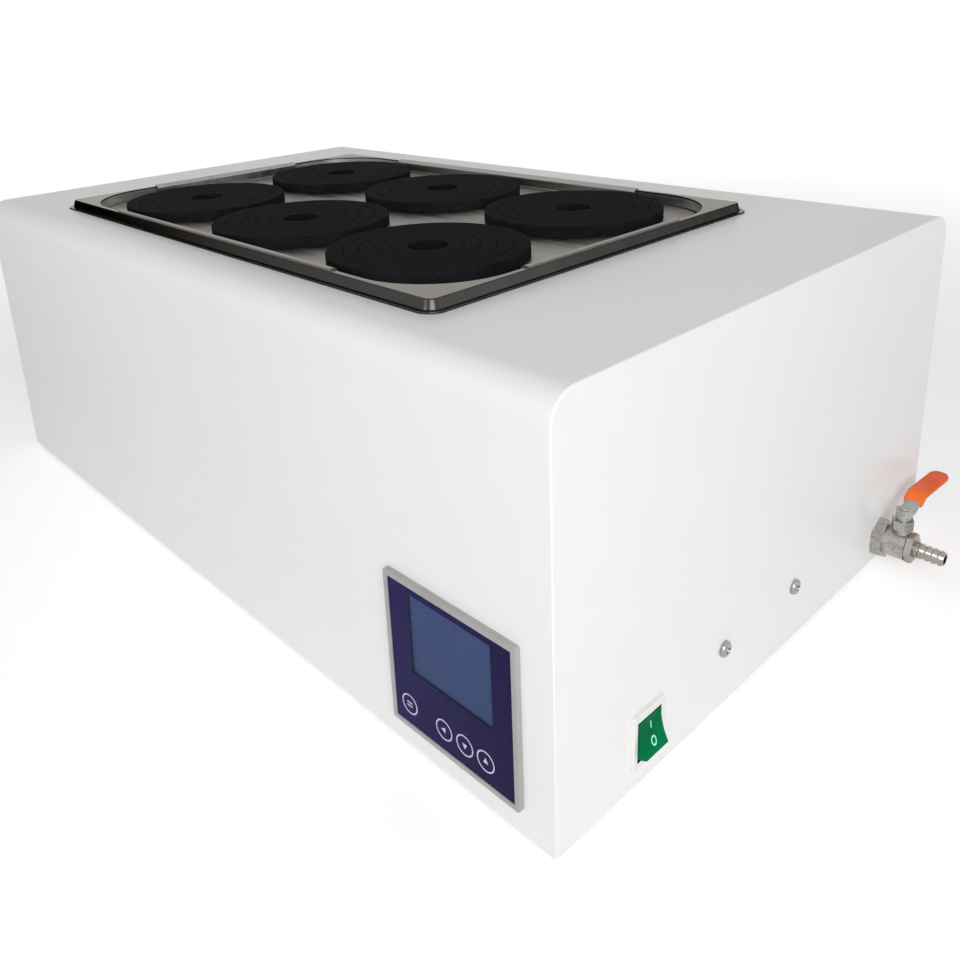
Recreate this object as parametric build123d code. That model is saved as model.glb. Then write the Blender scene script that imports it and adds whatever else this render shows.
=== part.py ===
from build123d import *
import math
import os

# Water bath with six ringed lids, a panel controller, a rocker switch and a drain valve.
# Millimetres, +Z up. The origin is the centre of the case, on the surface it stands on.
# The front, with the controller, faces -Y. The right end, with the valve, faces +X.

# Sheet metal
case_sheet = 1.2
tank_sheet = 1.0
rim_sheet = 1.2
plate_sheet = 1.2
fit_gap = 0.1
bend_radius = 16.0

# Lid rings, numbered from the largest
ring_count = 5
ring_width = 10.5
ring_gap = 0.3
ring_rise = 8.0
ring_lip = 5.0
ring_ledge = 3.0
ring_drop = 3.0
ring_chamfer = 0.6
centre_hole_radius = 13.0
lid_seat_width = 6.5
lid_spigot_gap = 0.4
lid_gap = 12.0
lid_margin_x = 21.5
lid_margin_y = 10.0
column_names = ["left", "middle", "right"]
row_names = ["front", "back"]

# Tank, surround and cover plate
tank_corner_radius = 57.0
tank_floor_radius = 10.0
tank_depth = 180.0
rim_rise = 7.0
rim_land = 4.0
rim_slope = 2.0
rim_foot = 3.0
rim_corner_radius = 6.0
rim_edge_radius = 1.5
plate_recess = 8.5
plate_gap = 1.6
flange_length_x = 290.0
flange_length_y = 150.0
flange_lip = 4.0
flange_flat = 6.0

# Case around the tank
left_margin = 95.0
right_margin = 111.0
front_margin = 35.0
back_margin = 69.0
case_top = 245.0
foot_height = 2.0
foot_radius = 12.0
foot_inset = 32.0
panel_flange = 12.0
panel_edge_radius = 0.9
pan_lip = 10.0
vent_count = 7
vent_length = 40.0
vent_width = 4.0
vent_pitch = 9.0

# Perforated shelf
shelf_sheet = 1.0
shelf_height = 32.0
shelf_gap = 10.0
shelf_leg_inset = 22.0
shelf_hole_radius = 10.0
shelf_hole_pitch = 46.0
shelf_hole_columns = 8
shelf_hole_rows = 4

# Heating element and probe
element_radius = 5.0
element_height = 20.0
element_spacing = 106.0
element_end_gap = 45.0
element_bend = 24.0
element_tail = 14.0
fitting_neck_radius = 6.5
fitting_nut_width = 18.0
fitting_nut_length = 7.0
fitting_flange_radius = 9.0
fitting_flange_length = 2.5
probe_radius = 3.0
probe_length = 60.0

# Controller
controller_size = 96.0
controller_from_right = 68.5
controller_above_base = 18.5
bezel_depth = 3.5
bezel_border = 3.0
bezel_corner = 1.5
bezel_floor = 1.6
overlay_recess = 0.6
overlay_sheet = 1.0
controller_neck = 90.0
controller_neck_wall = 2.0
controller_neck_depth = 6.0
controller_housing_depth = 34.0
display_width = 60.0
display_height = 49.0
display_shift_x = 1.0
display_shift_z = 16.0
display_border = 2.5
display_depth = 1.6
key_radius = 6.5
key_gap = 0.2
key_travel = 0.4
key_flange = 0.8
key_flange_depth = 0.8
key_drop = 32.0
key_places = {"set_key": -33.5, "left_key": -6.0, "down_key": 9.6, "up_key": 24.8}

# Rocker switch
switch_from_front = 71.0
switch_centre_height = 32.0
switch_width = 27.0
switch_height = 33.4
switch_frame_depth = 2.4
switch_corner = 1.5
switch_edge_radius = 0.8
switch_body_wall = 1.2
switch_body_depth = 24.0
rocker_width = 19.4
rocker_height = 20.6
rocker_side_gap = 0.5
rocker_end_gap = 0.5
rocker_tilt = 14.0
rocker_front = 8.7
rocker_hollow = 1.5
rocker_shoulder = 1.5
rocker_shoulder_depth = 7.7
rocker_back = 3.5
rocker_back_taper = 2.3
rocker_pivot_depth = 3.1
rocker_pivot_radius = 1.6
rocker_pivot_gap = 0.05
rocker_pivot_length = 1.5
terminal_width = 6.3
terminal_thickness = 0.8
terminal_length = 9.0
terminal_pitch = 7.5

# Screws, bracket and power board on the right end
screw_from_front = 145.5
screw_spacing = 81.0
screw_height = 41.0
screw_head_radius = 5.0
screw_head_height = 3.2
screw_radius = 2.5
screw_length = 12.0
screw_hole_gap = 0.3
bracket_sheet = 1.5
bracket_height = 28.0
bracket_depth = 62.0
bracket_overhang = 12.0
board_sheet = 1.6
board_post_radius = 3.0
board_post_height = 6.0

# Mains inlet on the back
inlet_from_right = 60.0
inlet_height = 62.0
inlet_width = 27.0
inlet_body_height = 20.0
inlet_flange_width = 50.0
inlet_flange_height = 26.0
inlet_flange_depth = 3.0
inlet_depth = 22.0
inlet_cavity_depth = 16.0
inlet_wall = 1.8
inlet_pin_pitch = 7.0
inlet_pin_offset = 2.0
inlet_pin_length = 13.0

# Drain
drain_from_front = 353.0
drain_height = 19.5
drain_outlet_inset = 42.0
drain_pipe_radius = 7.0
drain_bore_radius = 5.0
drain_bend = 20.0
drain_nut_width = 20.0
drain_nut_length = 5.0
drain_spigot_length = 6.0
drain_straight = 62.0
valve_hex_width = 26.0
valve_hex_length = 7.0
valve_barrel_radius = 10.5
valve_length = 21.5
ball_radius = 5.0
ball_gap = 0.1
ball_bore_radius = 3.0
stem_radius = 3.0
stem_from_wall = 16.0
stem_boss_radius = 5.5
stem_boss_height = 13.0
gland_nut_width = 13.0
gland_nut_height = 7.0
gland_gap = 2.5
barb_length = 20.0
barb_root_radius = 4.7
barb_crest_radius = 5.8
barb_bore_radius = 3.3
barb_count = 4
barb_shoulder = 3.0
cap_width = 19.5
cap_length = 4.5
cap_corner_radius = 10.9
lever_sheet = 2.0
lever_width = 10.5
lever_flat = 9.0
lever_rise = 7.5
lever_ramp = 13.0
lever_reach = 65.5
lever_droop = 2.5
lever_bend = 7.0
lever_nut_width = 10.0
lever_nut_height = 3.5
sleeve_wall = 1.5
sleeve_start = 14.5

# Worked out from the sizes above
lid_radius = centre_hole_radius + ring_count * ring_width
lid_pitch = 2 * lid_radius + lid_gap
column_count = len(column_names)
row_count = len(row_names)
tank_length = (column_count - 1) * lid_pitch + 2 * lid_radius + 2 * lid_margin_x
tank_width = (row_count - 1) * lid_pitch + 2 * lid_radius + 2 * lid_margin_y
rim_extra = rim_land + rim_slope + rim_foot
surround_length = tank_length + 2 * rim_extra
surround_width = tank_width + 2 * rim_extra
case_length = left_margin + surround_length + right_margin
case_depth = front_margin + surround_width + back_margin
right_x = case_length / 2
left_x = -right_x
back_y = case_depth / 2
front_y = -back_y
tank_x = left_x + left_margin + surround_length / 2
tank_y = front_y + front_margin + surround_width / 2
rim_top = case_top + rim_rise
tank_floor = rim_top - tank_depth
plate_top = rim_top - plate_recess
plate_length = tank_length - 2 * plate_gap
plate_width = tank_width - 2 * plate_gap
ring_top = plate_top + ring_rise
ring_seat = ring_top - ring_lip
ring_bottom = plate_top - ring_drop
plate_hole_radius = lid_radius - lid_seat_width
tank_wall_x = tank_x + tank_length / 2
inner_right_x = right_x - case_sheet


def box_between(low, high):
    """Box from its lowest corner to its highest corner."""
    size = [high[i] - low[i] for i in range(3)]
    middle = [(high[i] + low[i]) / 2 for i in range(3)]
    return Pos(*middle) * Box(*size)


def rod_x(radius, x_low, x_high, y, z):
    """Round rod along X."""
    return Pos((x_low + x_high) / 2, y, z) * Rot(0, 90, 0) * Cylinder(radius, x_high - x_low)


def rod_y(radius, y_low, y_high, x, z):
    """Round rod along Y."""
    return Pos(x, (y_low + y_high) / 2, z) * Rot(90, 0, 0) * Cylinder(radius, y_high - y_low)


def rod_z(radius, z_low, z_high, x, y):
    """Round rod along Z."""
    return Pos(x, y, (z_low + z_high) / 2) * Cylinder(radius, z_high - z_low)


def hexagon_x(width, x_low, x_high, y, z):
    """Hexagon bar along X, with two corners at top and bottom, measured across its flats."""
    outline = RegularPolygon(width / 2, 6, major_radius=False)
    plane = Plane(origin=(x_low, y, z), x_dir=(0, 0, 1), z_dir=(1, 0, 0))
    return extrude(plane * outline, x_high - x_low)


def hexagon_z(width, z_low, z_high, x, y):
    """Hexagon bar along Z, measured across its flats."""
    outline = RegularPolygon(width / 2, 6, major_radius=False)
    return extrude(Plane(origin=(x, y, z_low)) * outline, z_high - z_low)


def tank_block(grow, z_low, z_high):
    """Block with the tank's rounded outline, grown on every side."""
    outline = RectangleRounded(tank_length + 2 * grow, tank_width + 2 * grow, tank_corner_radius + grow)
    return extrude(Plane(origin=(tank_x, tank_y, z_low)) * outline, z_high - z_low)


def case_block(inset, x_low, x_high, z_low):
    """Block with the case's end outline, whose two top corners are round."""
    width = case_depth - 2 * inset
    height = case_top - inset - z_low
    outline = Pos(0, z_low + height / 2) * Rectangle(width, height)
    corners = outline.vertices().group_by(Axis.Y)[-1]
    outline = fillet(corners, bend_radius - inset)
    return extrude(Plane.YZ.offset(x_low) * outline, x_high - x_low)


def lid_places():
    """Centre of each lid, with the names of its row and column."""
    places = []
    for row, row_name in enumerate(row_names):
        for column, column_name in enumerate(column_names):
            x = tank_x + (column - (column_count - 1) / 2) * lid_pitch
            y = tank_y + (row - (row_count - 1) / 2) * lid_pitch
            places.append((row_name, column_name, x, y))
    return places


# Case

def make_case_wrap():
    """Front, top and back as one bent sheet, open for the tank, the controller and the inlet."""
    x_low = left_x + case_sheet
    x_high = right_x - case_sheet
    wrap = case_block(0, x_low, x_high, foot_height)
    wrap -= case_block(case_sheet, x_low - 1, x_high + 1, foot_height - 1)
    wrap -= tank_block(tank_sheet + fit_gap, case_top - 2 * case_sheet, case_top + 1)
    neck = controller_neck / 2 + fit_gap
    x = right_x - controller_from_right
    z = controller_above_base + controller_size / 2
    wrap -= box_between((x - neck, front_y - 1, z - neck), (x + neck, front_y + 2 * case_sheet, z + neck))
    wrap -= inlet_block(fit_gap, back_y - 2 * case_sheet, back_y + 1)
    return wrap


def make_end_panel(side):
    """End panel with a flange that lies inside the wrap. Side is 1 at the right, -1 at the left."""
    outer = side * right_x
    inner = outer - side * case_sheet
    flange_end = inner - side * panel_flange
    panel = case_block(0, min(outer, inner), max(outer, inner), foot_height)
    outer_edges = panel.edges().group_by(Axis.X)[-1 if side > 0 else 0]
    panel = fillet(outer_edges, panel_edge_radius)
    flange_low = min(inner, flange_end)
    flange_high = max(inner, flange_end)
    flange = case_block(case_sheet + fit_gap, flange_low, flange_high, foot_height)
    flange -= case_block(2 * case_sheet + fit_gap, flange_low - 1, flange_high + 1, foot_height - 1)
    panel += flange
    if side > 0:
        panel = cut_right_panel(panel)
    return panel


def cut_right_panel(panel):
    """Holes of the right end: switch, two screws and drain."""
    x_low = right_x - 2 * case_sheet
    x_high = right_x + 1
    half_y = switch_body_width() / 2 + fit_gap
    half_z = switch_body_height() / 2 + fit_gap
    y = front_y + switch_from_front
    z = switch_centre_height
    panel -= box_between((x_low, y - half_y, z - half_z), (x_high, y + half_y, z + half_z))
    for place in screw_places():
        panel -= rod_x(screw_radius + screw_hole_gap, x_low, x_high, place, screw_height)
    hole = drain_pipe_radius - 1 + fit_gap
    panel -= rod_x(hole, x_low, x_high, front_y + drain_from_front, drain_height)
    return panel


def make_base_pan():
    """Base sheet with upturned lips, and ventilation slots under the electrical space."""
    length = case_length - 2 * case_sheet - 2 * fit_gap
    width = case_depth - 4 * case_sheet - 4 * fit_gap
    low = (-length / 2, -width / 2, foot_height)
    high = (length / 2, width / 2, foot_height + pan_lip)
    pan = box_between(low, high)
    inner_low = (low[0] + case_sheet, low[1] + case_sheet, low[2] + case_sheet)
    inner_high = (high[0] - case_sheet, high[1] - case_sheet, high[2] + 1)
    pan -= box_between(inner_low, inner_high)
    nut_half = drain_nut_width / math.sqrt(3) + fit_gap
    notch_low = (inner_right_x - drain_nut_length - fit_gap, drain_y() - nut_half, drain_height - nut_half)
    pan -= box_between(notch_low, (right_x, drain_y() + nut_half, drain_height + nut_half))
    slot_x = (tank_wall_x + right_x) / 2
    slot = SlotOverall(vent_length, vent_width)
    for i in range(vent_count):
        y = tank_y + (i - (vent_count - 1) / 2) * vent_pitch
        place = Plane(origin=(slot_x, y, foot_height - 1))
        pan -= extrude(place * slot, 2 * case_sheet + 1)
    return pan


def make_foot_pads():
    """Four round pads under the base pan."""
    pads = []
    for x_side in (-1, 1):
        for y_side in (-1, 1):
            x = x_side * (right_x - foot_inset)
            y = y_side * (back_y - foot_inset)
            pad = rod_z(foot_radius, 0, foot_height, x, y)
            lower_edge = pad.edges().group_by(Axis.Z)[0]
            pads.append(chamfer(lower_edge, foot_height / 4))
    return pads


# Tank

def make_tank():
    """Tub with rounded corners and floor edge, with holes for the fittings and the drain."""
    wall_top = rim_top - rim_sheet
    tub = tank_block(tank_sheet, tank_floor - tank_sheet, wall_top)
    tub = fillet(tub.edges().group_by(Axis.Z)[0], tank_floor_radius + tank_sheet)
    hollow = tank_block(0, tank_floor, wall_top + 1)
    hollow = fillet(hollow.edges().group_by(Axis.Z)[0], tank_floor_radius)
    tub -= hollow
    wall_low = tank_wall_x - 1
    wall_high = tank_wall_x + tank_sheet + 1
    for y in element_places():
        tub -= rod_x(fitting_neck_radius + fit_gap, wall_low, wall_high, y, element_z())
    tub -= rod_x(probe_radius + fit_gap, wall_low, wall_high, tank_y, element_z())
    outlet_x, outlet_y = drain_outlet()
    tub -= rod_z(drain_bore_radius, tank_floor - tank_sheet - 1, tank_floor + 1, outlet_x, outlet_y)
    return tub


def make_tank_surround():
    """Raised plate around the tank, with a sloped wall and a small foot on the case."""
    base_length = surround_length - 2 * rim_foot
    base_width = surround_width - 2 * rim_foot
    base_corner = rim_corner_radius + rim_slope
    slope = math.degrees(math.atan2(rim_slope, rim_rise))
    base = Plane(origin=(tank_x, tank_y, case_top))
    outline = RectangleRounded(base_length, base_width, base_corner)
    surround = extrude(base * outline, rim_rise, taper=slope)
    surround = fillet(surround.edges().group_by(Axis.Z)[-1], rim_edge_radius)
    inner = RectangleRounded(base_length - 2 * rim_sheet, base_width - 2 * rim_sheet, base_corner - rim_sheet)
    hollow = extrude(base * inner, rim_rise - rim_sheet, taper=slope)
    foot_outline = RectangleRounded(surround_length, surround_width, base_corner + rim_foot)
    foot = extrude(base * foot_outline, rim_sheet)
    surround = surround + foot - hollow
    surround -= tank_block(0, rim_top - 2 * rim_sheet, rim_top + 1)
    return surround


def flange_strip(length):
    """Bent strip along X: flat part, upright wall and hooked lip, with the wall's face at Y = 0."""
    rise = plate_recess
    line = FilletPolyline(
        (-flange_flat, 0),
        (0, 0),
        (0, rise + plate_sheet),
        (flange_lip, rise + plate_sheet),
        radius=plate_gap,
    )
    section = make_face(offset(line, amount=plate_sheet, side=Side.LEFT).edges())
    plane = Plane(origin=(-length / 2, 0, 0), x_dir=(0, 1, 0), z_dir=(1, 0, 0))
    return extrude(plane * section, length)


def make_cover_plate():
    """Recessed plate with six holes and four flanges whose lips lie on the surround."""
    bottom = plate_top - plate_sheet
    corner = tank_corner_radius - plate_gap
    outline = RectangleRounded(plate_length, plate_width, corner)
    plate = extrude(Plane(origin=(tank_x, tank_y, bottom)) * outline, plate_sheet)
    sides = [
        (plate_width / 2, flange_length_x, 0),
        (plate_length / 2, flange_length_y, 90),
        (plate_width / 2, flange_length_x, 180),
        (plate_length / 2, flange_length_y, 270),
    ]
    for reach, length, turn in sides:
        place = Pos(tank_x, tank_y, bottom) * Rot(0, 0, turn) * Pos(0, reach, 0)
        notch = Box(length, 2 * flange_flat, 4 * plate_sheet)
        plate -= place * notch
        plate += place * flange_strip(length)
    for _, _, x, y in lid_places():
        plate -= rod_z(plate_hole_radius, bottom - 1, plate_top + 1, x, y)
    return plate


def ring_outline(number):
    """Half section of one lid ring as radius and height points. Number 0 is the largest."""
    outer = lid_radius - number * ring_width
    inner = outer - ring_width
    first = number == 0
    last = number == ring_count - 1
    if not first:
        outer -= ring_gap
    points = [(outer, ring_top - ring_chamfer), (outer - ring_chamfer, ring_top)]
    points.append((inner + ring_chamfer, ring_top))
    points.append((inner, ring_top - ring_chamfer))
    if not last:
        points.append((inner, ring_seat))
        points.append((inner - ring_ledge, ring_seat))
        points.append((inner - ring_ledge, ring_bottom))
    else:
        points.append((inner, ring_bottom))
    if first:
        spigot = plate_hole_radius - lid_spigot_gap
        points.append((spigot, ring_bottom))
        points.append((spigot, plate_top))
        points.append((outer, plate_top))
    else:
        points.append((outer - ring_ledge, ring_bottom))
        points.append((outer - ring_ledge, ring_seat))
        points.append((outer, ring_seat))
    return points


def make_lid_ring(number, x, y):
    """One lid ring: its lip rests on the ledge of the next larger ring."""
    section = make_face(Polyline(*ring_outline(number), close=True).edges())
    ring = revolve(Plane.XZ * section, Axis.Z)
    return Pos(x, y, 0) * ring


def make_perforated_shelf():
    """False floor over the element, with two folded legs on the tank's floor."""
    length = tank_length - 2 * shelf_gap
    width = tank_width - 2 * shelf_gap
    corner = tank_corner_radius - shelf_gap
    top = tank_floor + shelf_height
    outline = RectangleRounded(length, width, corner)
    shelf = extrude(Plane(origin=(tank_x, tank_y, top - shelf_sheet)) * outline, shelf_sheet)
    leg_length = length - 2 * corner
    for side in (-1, 1):
        leg_y = tank_y + side * (width / 2 - shelf_leg_inset)
        low = (tank_x - leg_length / 2, leg_y - shelf_sheet / 2, tank_floor)
        high = (tank_x + leg_length / 2, leg_y + shelf_sheet / 2, top - shelf_sheet)
        shelf += box_between(low, high)
    for column in range(shelf_hole_columns):
        for row in range(shelf_hole_rows):
            x = tank_x + (column - (shelf_hole_columns - 1) / 2) * shelf_hole_pitch
            y = tank_y + (row - (shelf_hole_rows - 1) / 2) * shelf_hole_pitch
            shelf -= rod_z(shelf_hole_radius, top - 2 * shelf_sheet, top + 1, x, y)
    return shelf


# Heating element and probe

def element_z():
    """Height of the element's axis."""
    return tank_floor + element_height


def element_places():
    """The two places across the tank where the element passes the wall."""
    return [tank_y - element_spacing / 2, tank_y + element_spacing / 2]


def wall_fitting(neck_radius, y, z):
    """Fitting through the tank's right wall: flange inside, neck in the hole, nut outside."""
    inside = tank_wall_x
    outside = tank_wall_x + tank_sheet
    fitting = rod_x(fitting_flange_radius, inside - fitting_flange_length, inside, y, z)
    fitting += rod_x(neck_radius, inside - 1, outside + fitting_nut_length + 2, y, z)
    fitting += hexagon_x(fitting_nut_width, outside, outside + fitting_nut_length, y, z)
    return fitting


def make_heating_element():
    """Hairpin of sheathed tube with a brazed fitting on each end."""
    end_x = tank_wall_x + tank_sheet + fitting_nut_length + element_tail
    far_x = tank_x - tank_length / 2 + element_end_gap
    first_y, second_y = element_places()
    z = element_z()
    path = FilletPolyline(
        (end_x, first_y, z),
        (far_x, first_y, z),
        (far_x, second_y, z),
        (end_x, second_y, z),
        radius=element_bend,
    )
    start = Plane(origin=(end_x, first_y, z), z_dir=(-1, 0, 0))
    tube = sweep(start * Circle(element_radius), path)
    for y in (first_y, second_y):
        tube += wall_fitting(fitting_neck_radius, y, z)
    return tube


def make_temperature_probe():
    """Probe tube through the tank's right wall, between the element's legs."""
    z = element_z()
    outside = tank_wall_x + tank_sheet + fitting_nut_length
    probe = rod_x(probe_radius, tank_wall_x - probe_length, outside + element_tail, tank_y, z)
    tip = probe.edges().group_by(Axis.X)[0]
    probe = fillet(tip, probe_radius * 0.8)
    probe += wall_fitting(probe_radius, tank_y, z)
    return probe


# Controller

def controller_centre():
    """Centre of the controller on the front face."""
    x = right_x - controller_from_right
    z = controller_above_base + controller_size / 2
    return x, z


def front_block(x, z, width, height, depth_low, depth_high, corner=0.0):
    """Block on the front face. Depth counts from the case's face into the case."""
    if corner > 0:
        outline = RectangleRounded(width, height, corner)
    else:
        outline = Rectangle(width, height)
    plane = Plane(origin=(x, front_y + depth_low, z), x_dir=(-1, 0, 0), z_dir=(0, 1, 0))
    return extrude(plane * outline, depth_high - depth_low)


def key_centres():
    """Name and centre of each key on the front face."""
    x, z = controller_centre()
    return [(name, x + shift, z - key_drop) for name, shift in key_places.items()]


def overlay_front():
    """Depth of the front sheet's outer face."""
    return overlay_recess - bezel_depth


def overlay_back():
    """Depth of the front sheet's inner face."""
    return overlay_front() + overlay_sheet


def display_centre():
    """Centre of the display on the front face."""
    x, z = controller_centre()
    return x + display_shift_x, z + display_shift_z


def make_controller_bezel():
    """Frame on the case's face, with a neck through the panel and a floor behind the front sheet."""
    x, z = controller_centre()
    inside = controller_size - 2 * bezel_border
    bezel = front_block(x, z, controller_size, controller_size, -bezel_depth, 0, bezel_corner)
    bezel += front_block(x, z, controller_neck, controller_neck, 0, controller_neck_depth)
    bezel -= front_block(x, z, inside, inside, -bezel_depth - 1, overlay_back())
    hollow = controller_neck - 2 * controller_neck_wall
    floor_back = overlay_back() + bezel_floor
    bezel -= front_block(x, z, hollow, hollow, floor_back, controller_neck_depth + 1)
    display_x, display_z = display_centre()
    width = display_width + 2 * display_border + 2 * fit_gap
    height = display_height + 2 * display_border + 2 * fit_gap
    bezel -= front_block(display_x, display_z, width, height, overlay_back() - 1, floor_back + 1)
    for _, key_x, key_z in key_centres():
        hole = key_radius + key_gap
        low = front_y + overlay_back() - 1
        bezel -= rod_y(hole, low, front_y + floor_back + 1, key_x, key_z)
    return bezel


def make_front_sheet():
    """Navy sheet in the bezel, with the display's window and the key holes."""
    x, z = controller_centre()
    side = controller_size - 2 * bezel_border - 2 * fit_gap
    sheet = front_block(x, z, side, side, overlay_front(), overlay_back())
    display_x, display_z = display_centre()
    low = overlay_front() - 1
    high = overlay_back() + 1
    sheet -= front_block(display_x, display_z, display_width, display_height, low, high)
    for _, key_x, key_z in key_centres():
        sheet -= rod_y(key_radius + key_gap, front_y + low, front_y + high, key_x, key_z)
    return sheet


def make_display():
    """Display glass with its dark border, behind the front sheet."""
    display_x, display_z = display_centre()
    width = display_width + 2 * display_border
    height = display_height + 2 * display_border
    return front_block(display_x, display_z, width, height, overlay_back(), overlay_back() + display_depth)


def make_key(key_x, key_z):
    """Round key whose flange stops it behind the bezel's floor."""
    floor_back = overlay_back() + bezel_floor
    low = front_y + overlay_front()
    high = front_y + floor_back + key_flange_depth
    key = rod_y(key_radius, low, high, key_x, key_z)
    key += rod_y(key_radius + key_flange, front_y + floor_back, high, key_x, key_z)
    return key


def housing_front():
    """Depth where the controller's housing starts, behind the keys and their travel."""
    return overlay_back() + bezel_floor + key_flange_depth + key_travel + fit_gap


def make_controller_housing():
    """Housing behind the panel, with a terminal block at its back."""
    x, z = controller_centre()
    side = controller_neck - 2 * controller_neck_wall - 2 * fit_gap
    start = housing_front()
    end = controller_neck_depth + controller_housing_depth
    housing = front_block(x, z, side, side, start, end, bezel_corner)
    block_width = side * 0.8
    block_height = side * 0.3
    housing -= front_block(x, z - side / 4, block_width, block_height, end - 8, end + 1)
    for i in range(8):
        screw_x = x + (i - 3.5) * block_width / 8
        housing += front_block(screw_x, z - side / 4, block_width / 16, block_height, end - 8, end - 3)
    return housing


# Rocker switch

def switch_centre():
    """Centre of the switch on the right end."""
    return front_y + switch_from_front, switch_centre_height


def end_block(y, z, width, height, out_low, out_high, corner=0.0):
    """Block on the right end. The last two depths count outwards from the panel's face."""
    if corner > 0:
        outline = RectangleRounded(width, height, corner)
    else:
        outline = Rectangle(width, height)
    plane = Plane(origin=(right_x + out_low, y, z), x_dir=(0, 1, 0), z_dir=(1, 0, 0))
    return extrude(plane * outline, out_high - out_low)


def rocker_reach():
    """Farthest that the rocker's ends swing from its pivot, up or down."""
    tilt = math.radians(rocker_tilt)
    return rocker_height / 2 * math.cos(tilt) + rocker_front * math.sin(tilt)


def pocket_height():
    """Height of the switch's opening."""
    return 2 * (rocker_reach() + rocker_end_gap)


def pocket_width():
    """Width of the switch's opening."""
    return rocker_width + 2 * rocker_side_gap


def switch_body_width():
    """Width of the switch's body behind the panel."""
    return pocket_width() + 2 * switch_body_wall


def switch_body_height():
    """Height of the switch's body behind the panel."""
    return pocket_height() + 2 * switch_body_wall


def make_switch_body():
    """Switch frame on the panel, with the body behind it, a pocket and three terminals."""
    y, z = switch_centre()
    body = end_block(y, z, switch_width, switch_height, 0, switch_frame_depth, switch_corner)
    front_edges = body.edges().group_by(Axis.X)[-1]
    body = fillet(front_edges, switch_edge_radius)
    body += end_block(y, z, switch_body_width(), switch_body_height(), -switch_body_depth, 0)
    pocket_floor = -rocker_pivot_depth - rocker_height / 2
    body -= end_block(y, z, pocket_width(), pocket_height(), pocket_floor, switch_frame_depth + 1)
    pivot_x = right_x - rocker_pivot_depth
    reach = rocker_width / 2 + rocker_pivot_length + rocker_side_gap
    body -= rod_y(rocker_pivot_radius + rocker_pivot_gap, y - reach, y + reach, pivot_x, z)
    for i in (-1, 0, 1):
        terminal = end_block(
            y, z + i * terminal_pitch, terminal_width, terminal_thickness,
            -switch_body_depth - terminal_length, -switch_body_depth,
        )
        body += terminal
    return body


def make_rocker():
    """Rocker with a hollowed face and a pivot pin on each side, tipped to its first position."""
    y, z = switch_centre()
    half = rocker_height / 2
    shoulder_x = rocker_front - rocker_shoulder_depth
    shoulder = half + rocker_shoulder
    back = half - rocker_back_taper
    outline = [
        ThreePointArc((rocker_front, -half), (rocker_front - rocker_hollow, 0), (rocker_front, half)),
        Polyline(
            (rocker_front, half),
            (shoulder_x, shoulder),
            (-rocker_back, back),
            (-rocker_back, -back),
            (shoulder_x, -shoulder),
            (rocker_front, -half),
        ),
    ]
    plane = Plane(origin=(0, rocker_width / 2, 0), x_dir=(1, 0, 0), z_dir=(0, -1, 0))
    rocker = extrude(plane * make_face(outline), rocker_width)
    pin_reach = rocker_width / 2 + rocker_pivot_length
    rocker += rod_y(rocker_pivot_radius, -pin_reach, pin_reach, 0, 0)
    return Pos(right_x - rocker_pivot_depth, y, z) * Rot(0, -rocker_tilt, 0) * rocker


# Screws, bracket and power board

def screw_places():
    """The two screws across the right end."""
    first = front_y + screw_from_front
    return [first, first + screw_spacing]


def make_panel_screws():
    """Two pan head screws through the right end panel into the bracket."""
    screws = []
    for y in screw_places():
        head = rod_x(screw_head_radius, right_x, right_x + screw_head_height, y, screw_height)
        head = fillet(head.edges().group_by(Axis.X)[-1], screw_head_height * 0.8)
        shank = rod_x(screw_radius, right_x - screw_length, right_x, y, screw_height)
        screws.append(head + shank)
    return screws


def make_power_bracket():
    """Angle bracket inside the right end, tapped for the two screws."""
    y_low = screw_places()[0] - bracket_overhang
    y_high = screw_places()[1] + bracket_overhang
    z_low = screw_height - bracket_height / 2
    z_high = screw_height + bracket_height / 2
    x_high = inner_right_x
    bracket = box_between((x_high - bracket_sheet, y_low, z_low), (x_high, y_high, z_high))
    shelf_low = (x_high - bracket_depth, y_low, z_high - bracket_sheet)
    bracket += box_between(shelf_low, (x_high, y_high, z_high))
    for y in screw_places():
        bracket += rod_x(2 * screw_radius, x_high - 3 * bracket_sheet, x_high, y, screw_height)
        bracket -= rod_x(screw_radius + fit_gap, x_high - 4 * bracket_sheet, x_high + 1, y, screw_height)
    return bracket


def make_power_board():
    """Board on four posts, with a transformer, a relay, two capacitors and a terminal strip."""
    y_low = screw_places()[0] - bracket_overhang / 2
    y_high = screw_places()[1] + bracket_overhang / 2
    x_low = inner_right_x - bracket_depth + 2
    x_high = inner_right_x - bracket_sheet - 4
    base = screw_height + bracket_height / 2
    z_low = base + board_post_height
    z_top = z_low + board_sheet
    board = box_between((x_low, y_low, z_low), (x_high, y_high, z_top))
    inset = 2 * board_post_radius
    for x in (x_low + inset, x_high - inset):
        for y in (y_low + inset, y_high - inset):
            board += rod_z(board_post_radius, base, z_low, x, y)
    depth = x_high - x_low
    span = y_high - y_low
    x_mid = (x_low + x_high) / 2
    transformer = (0.32 * span, 0.6 * depth, 26.0)
    relay = (0.2 * span, 0.5 * depth, 16.0)
    y_transformer = y_low + 0.3 * span
    y_relay = y_low + 0.62 * span
    for y, part in ((y_transformer, transformer), (y_relay, relay)):
        low = (x_mid - part[1] / 2, y - part[0] / 2, z_top)
        board += box_between(low, (x_mid + part[1] / 2, y + part[0] / 2, z_top + part[2]))
    for x in (x_mid - depth / 5, x_mid + depth / 5):
        board += rod_z(depth * 0.12, z_top, z_top + 20.0, x, y_low + 0.82 * span)
    return board


# Mains inlet

def inlet_block(grow, y_low, y_high):
    """Block with the outline of the inlet's body."""
    x = right_x - inlet_from_right
    half_x = inlet_width / 2 + grow
    half_z = inlet_body_height / 2 + grow
    low = (x - half_x, y_low, inlet_height - half_z)
    return box_between(low, (x + half_x, y_high, inlet_height + half_z))


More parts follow.
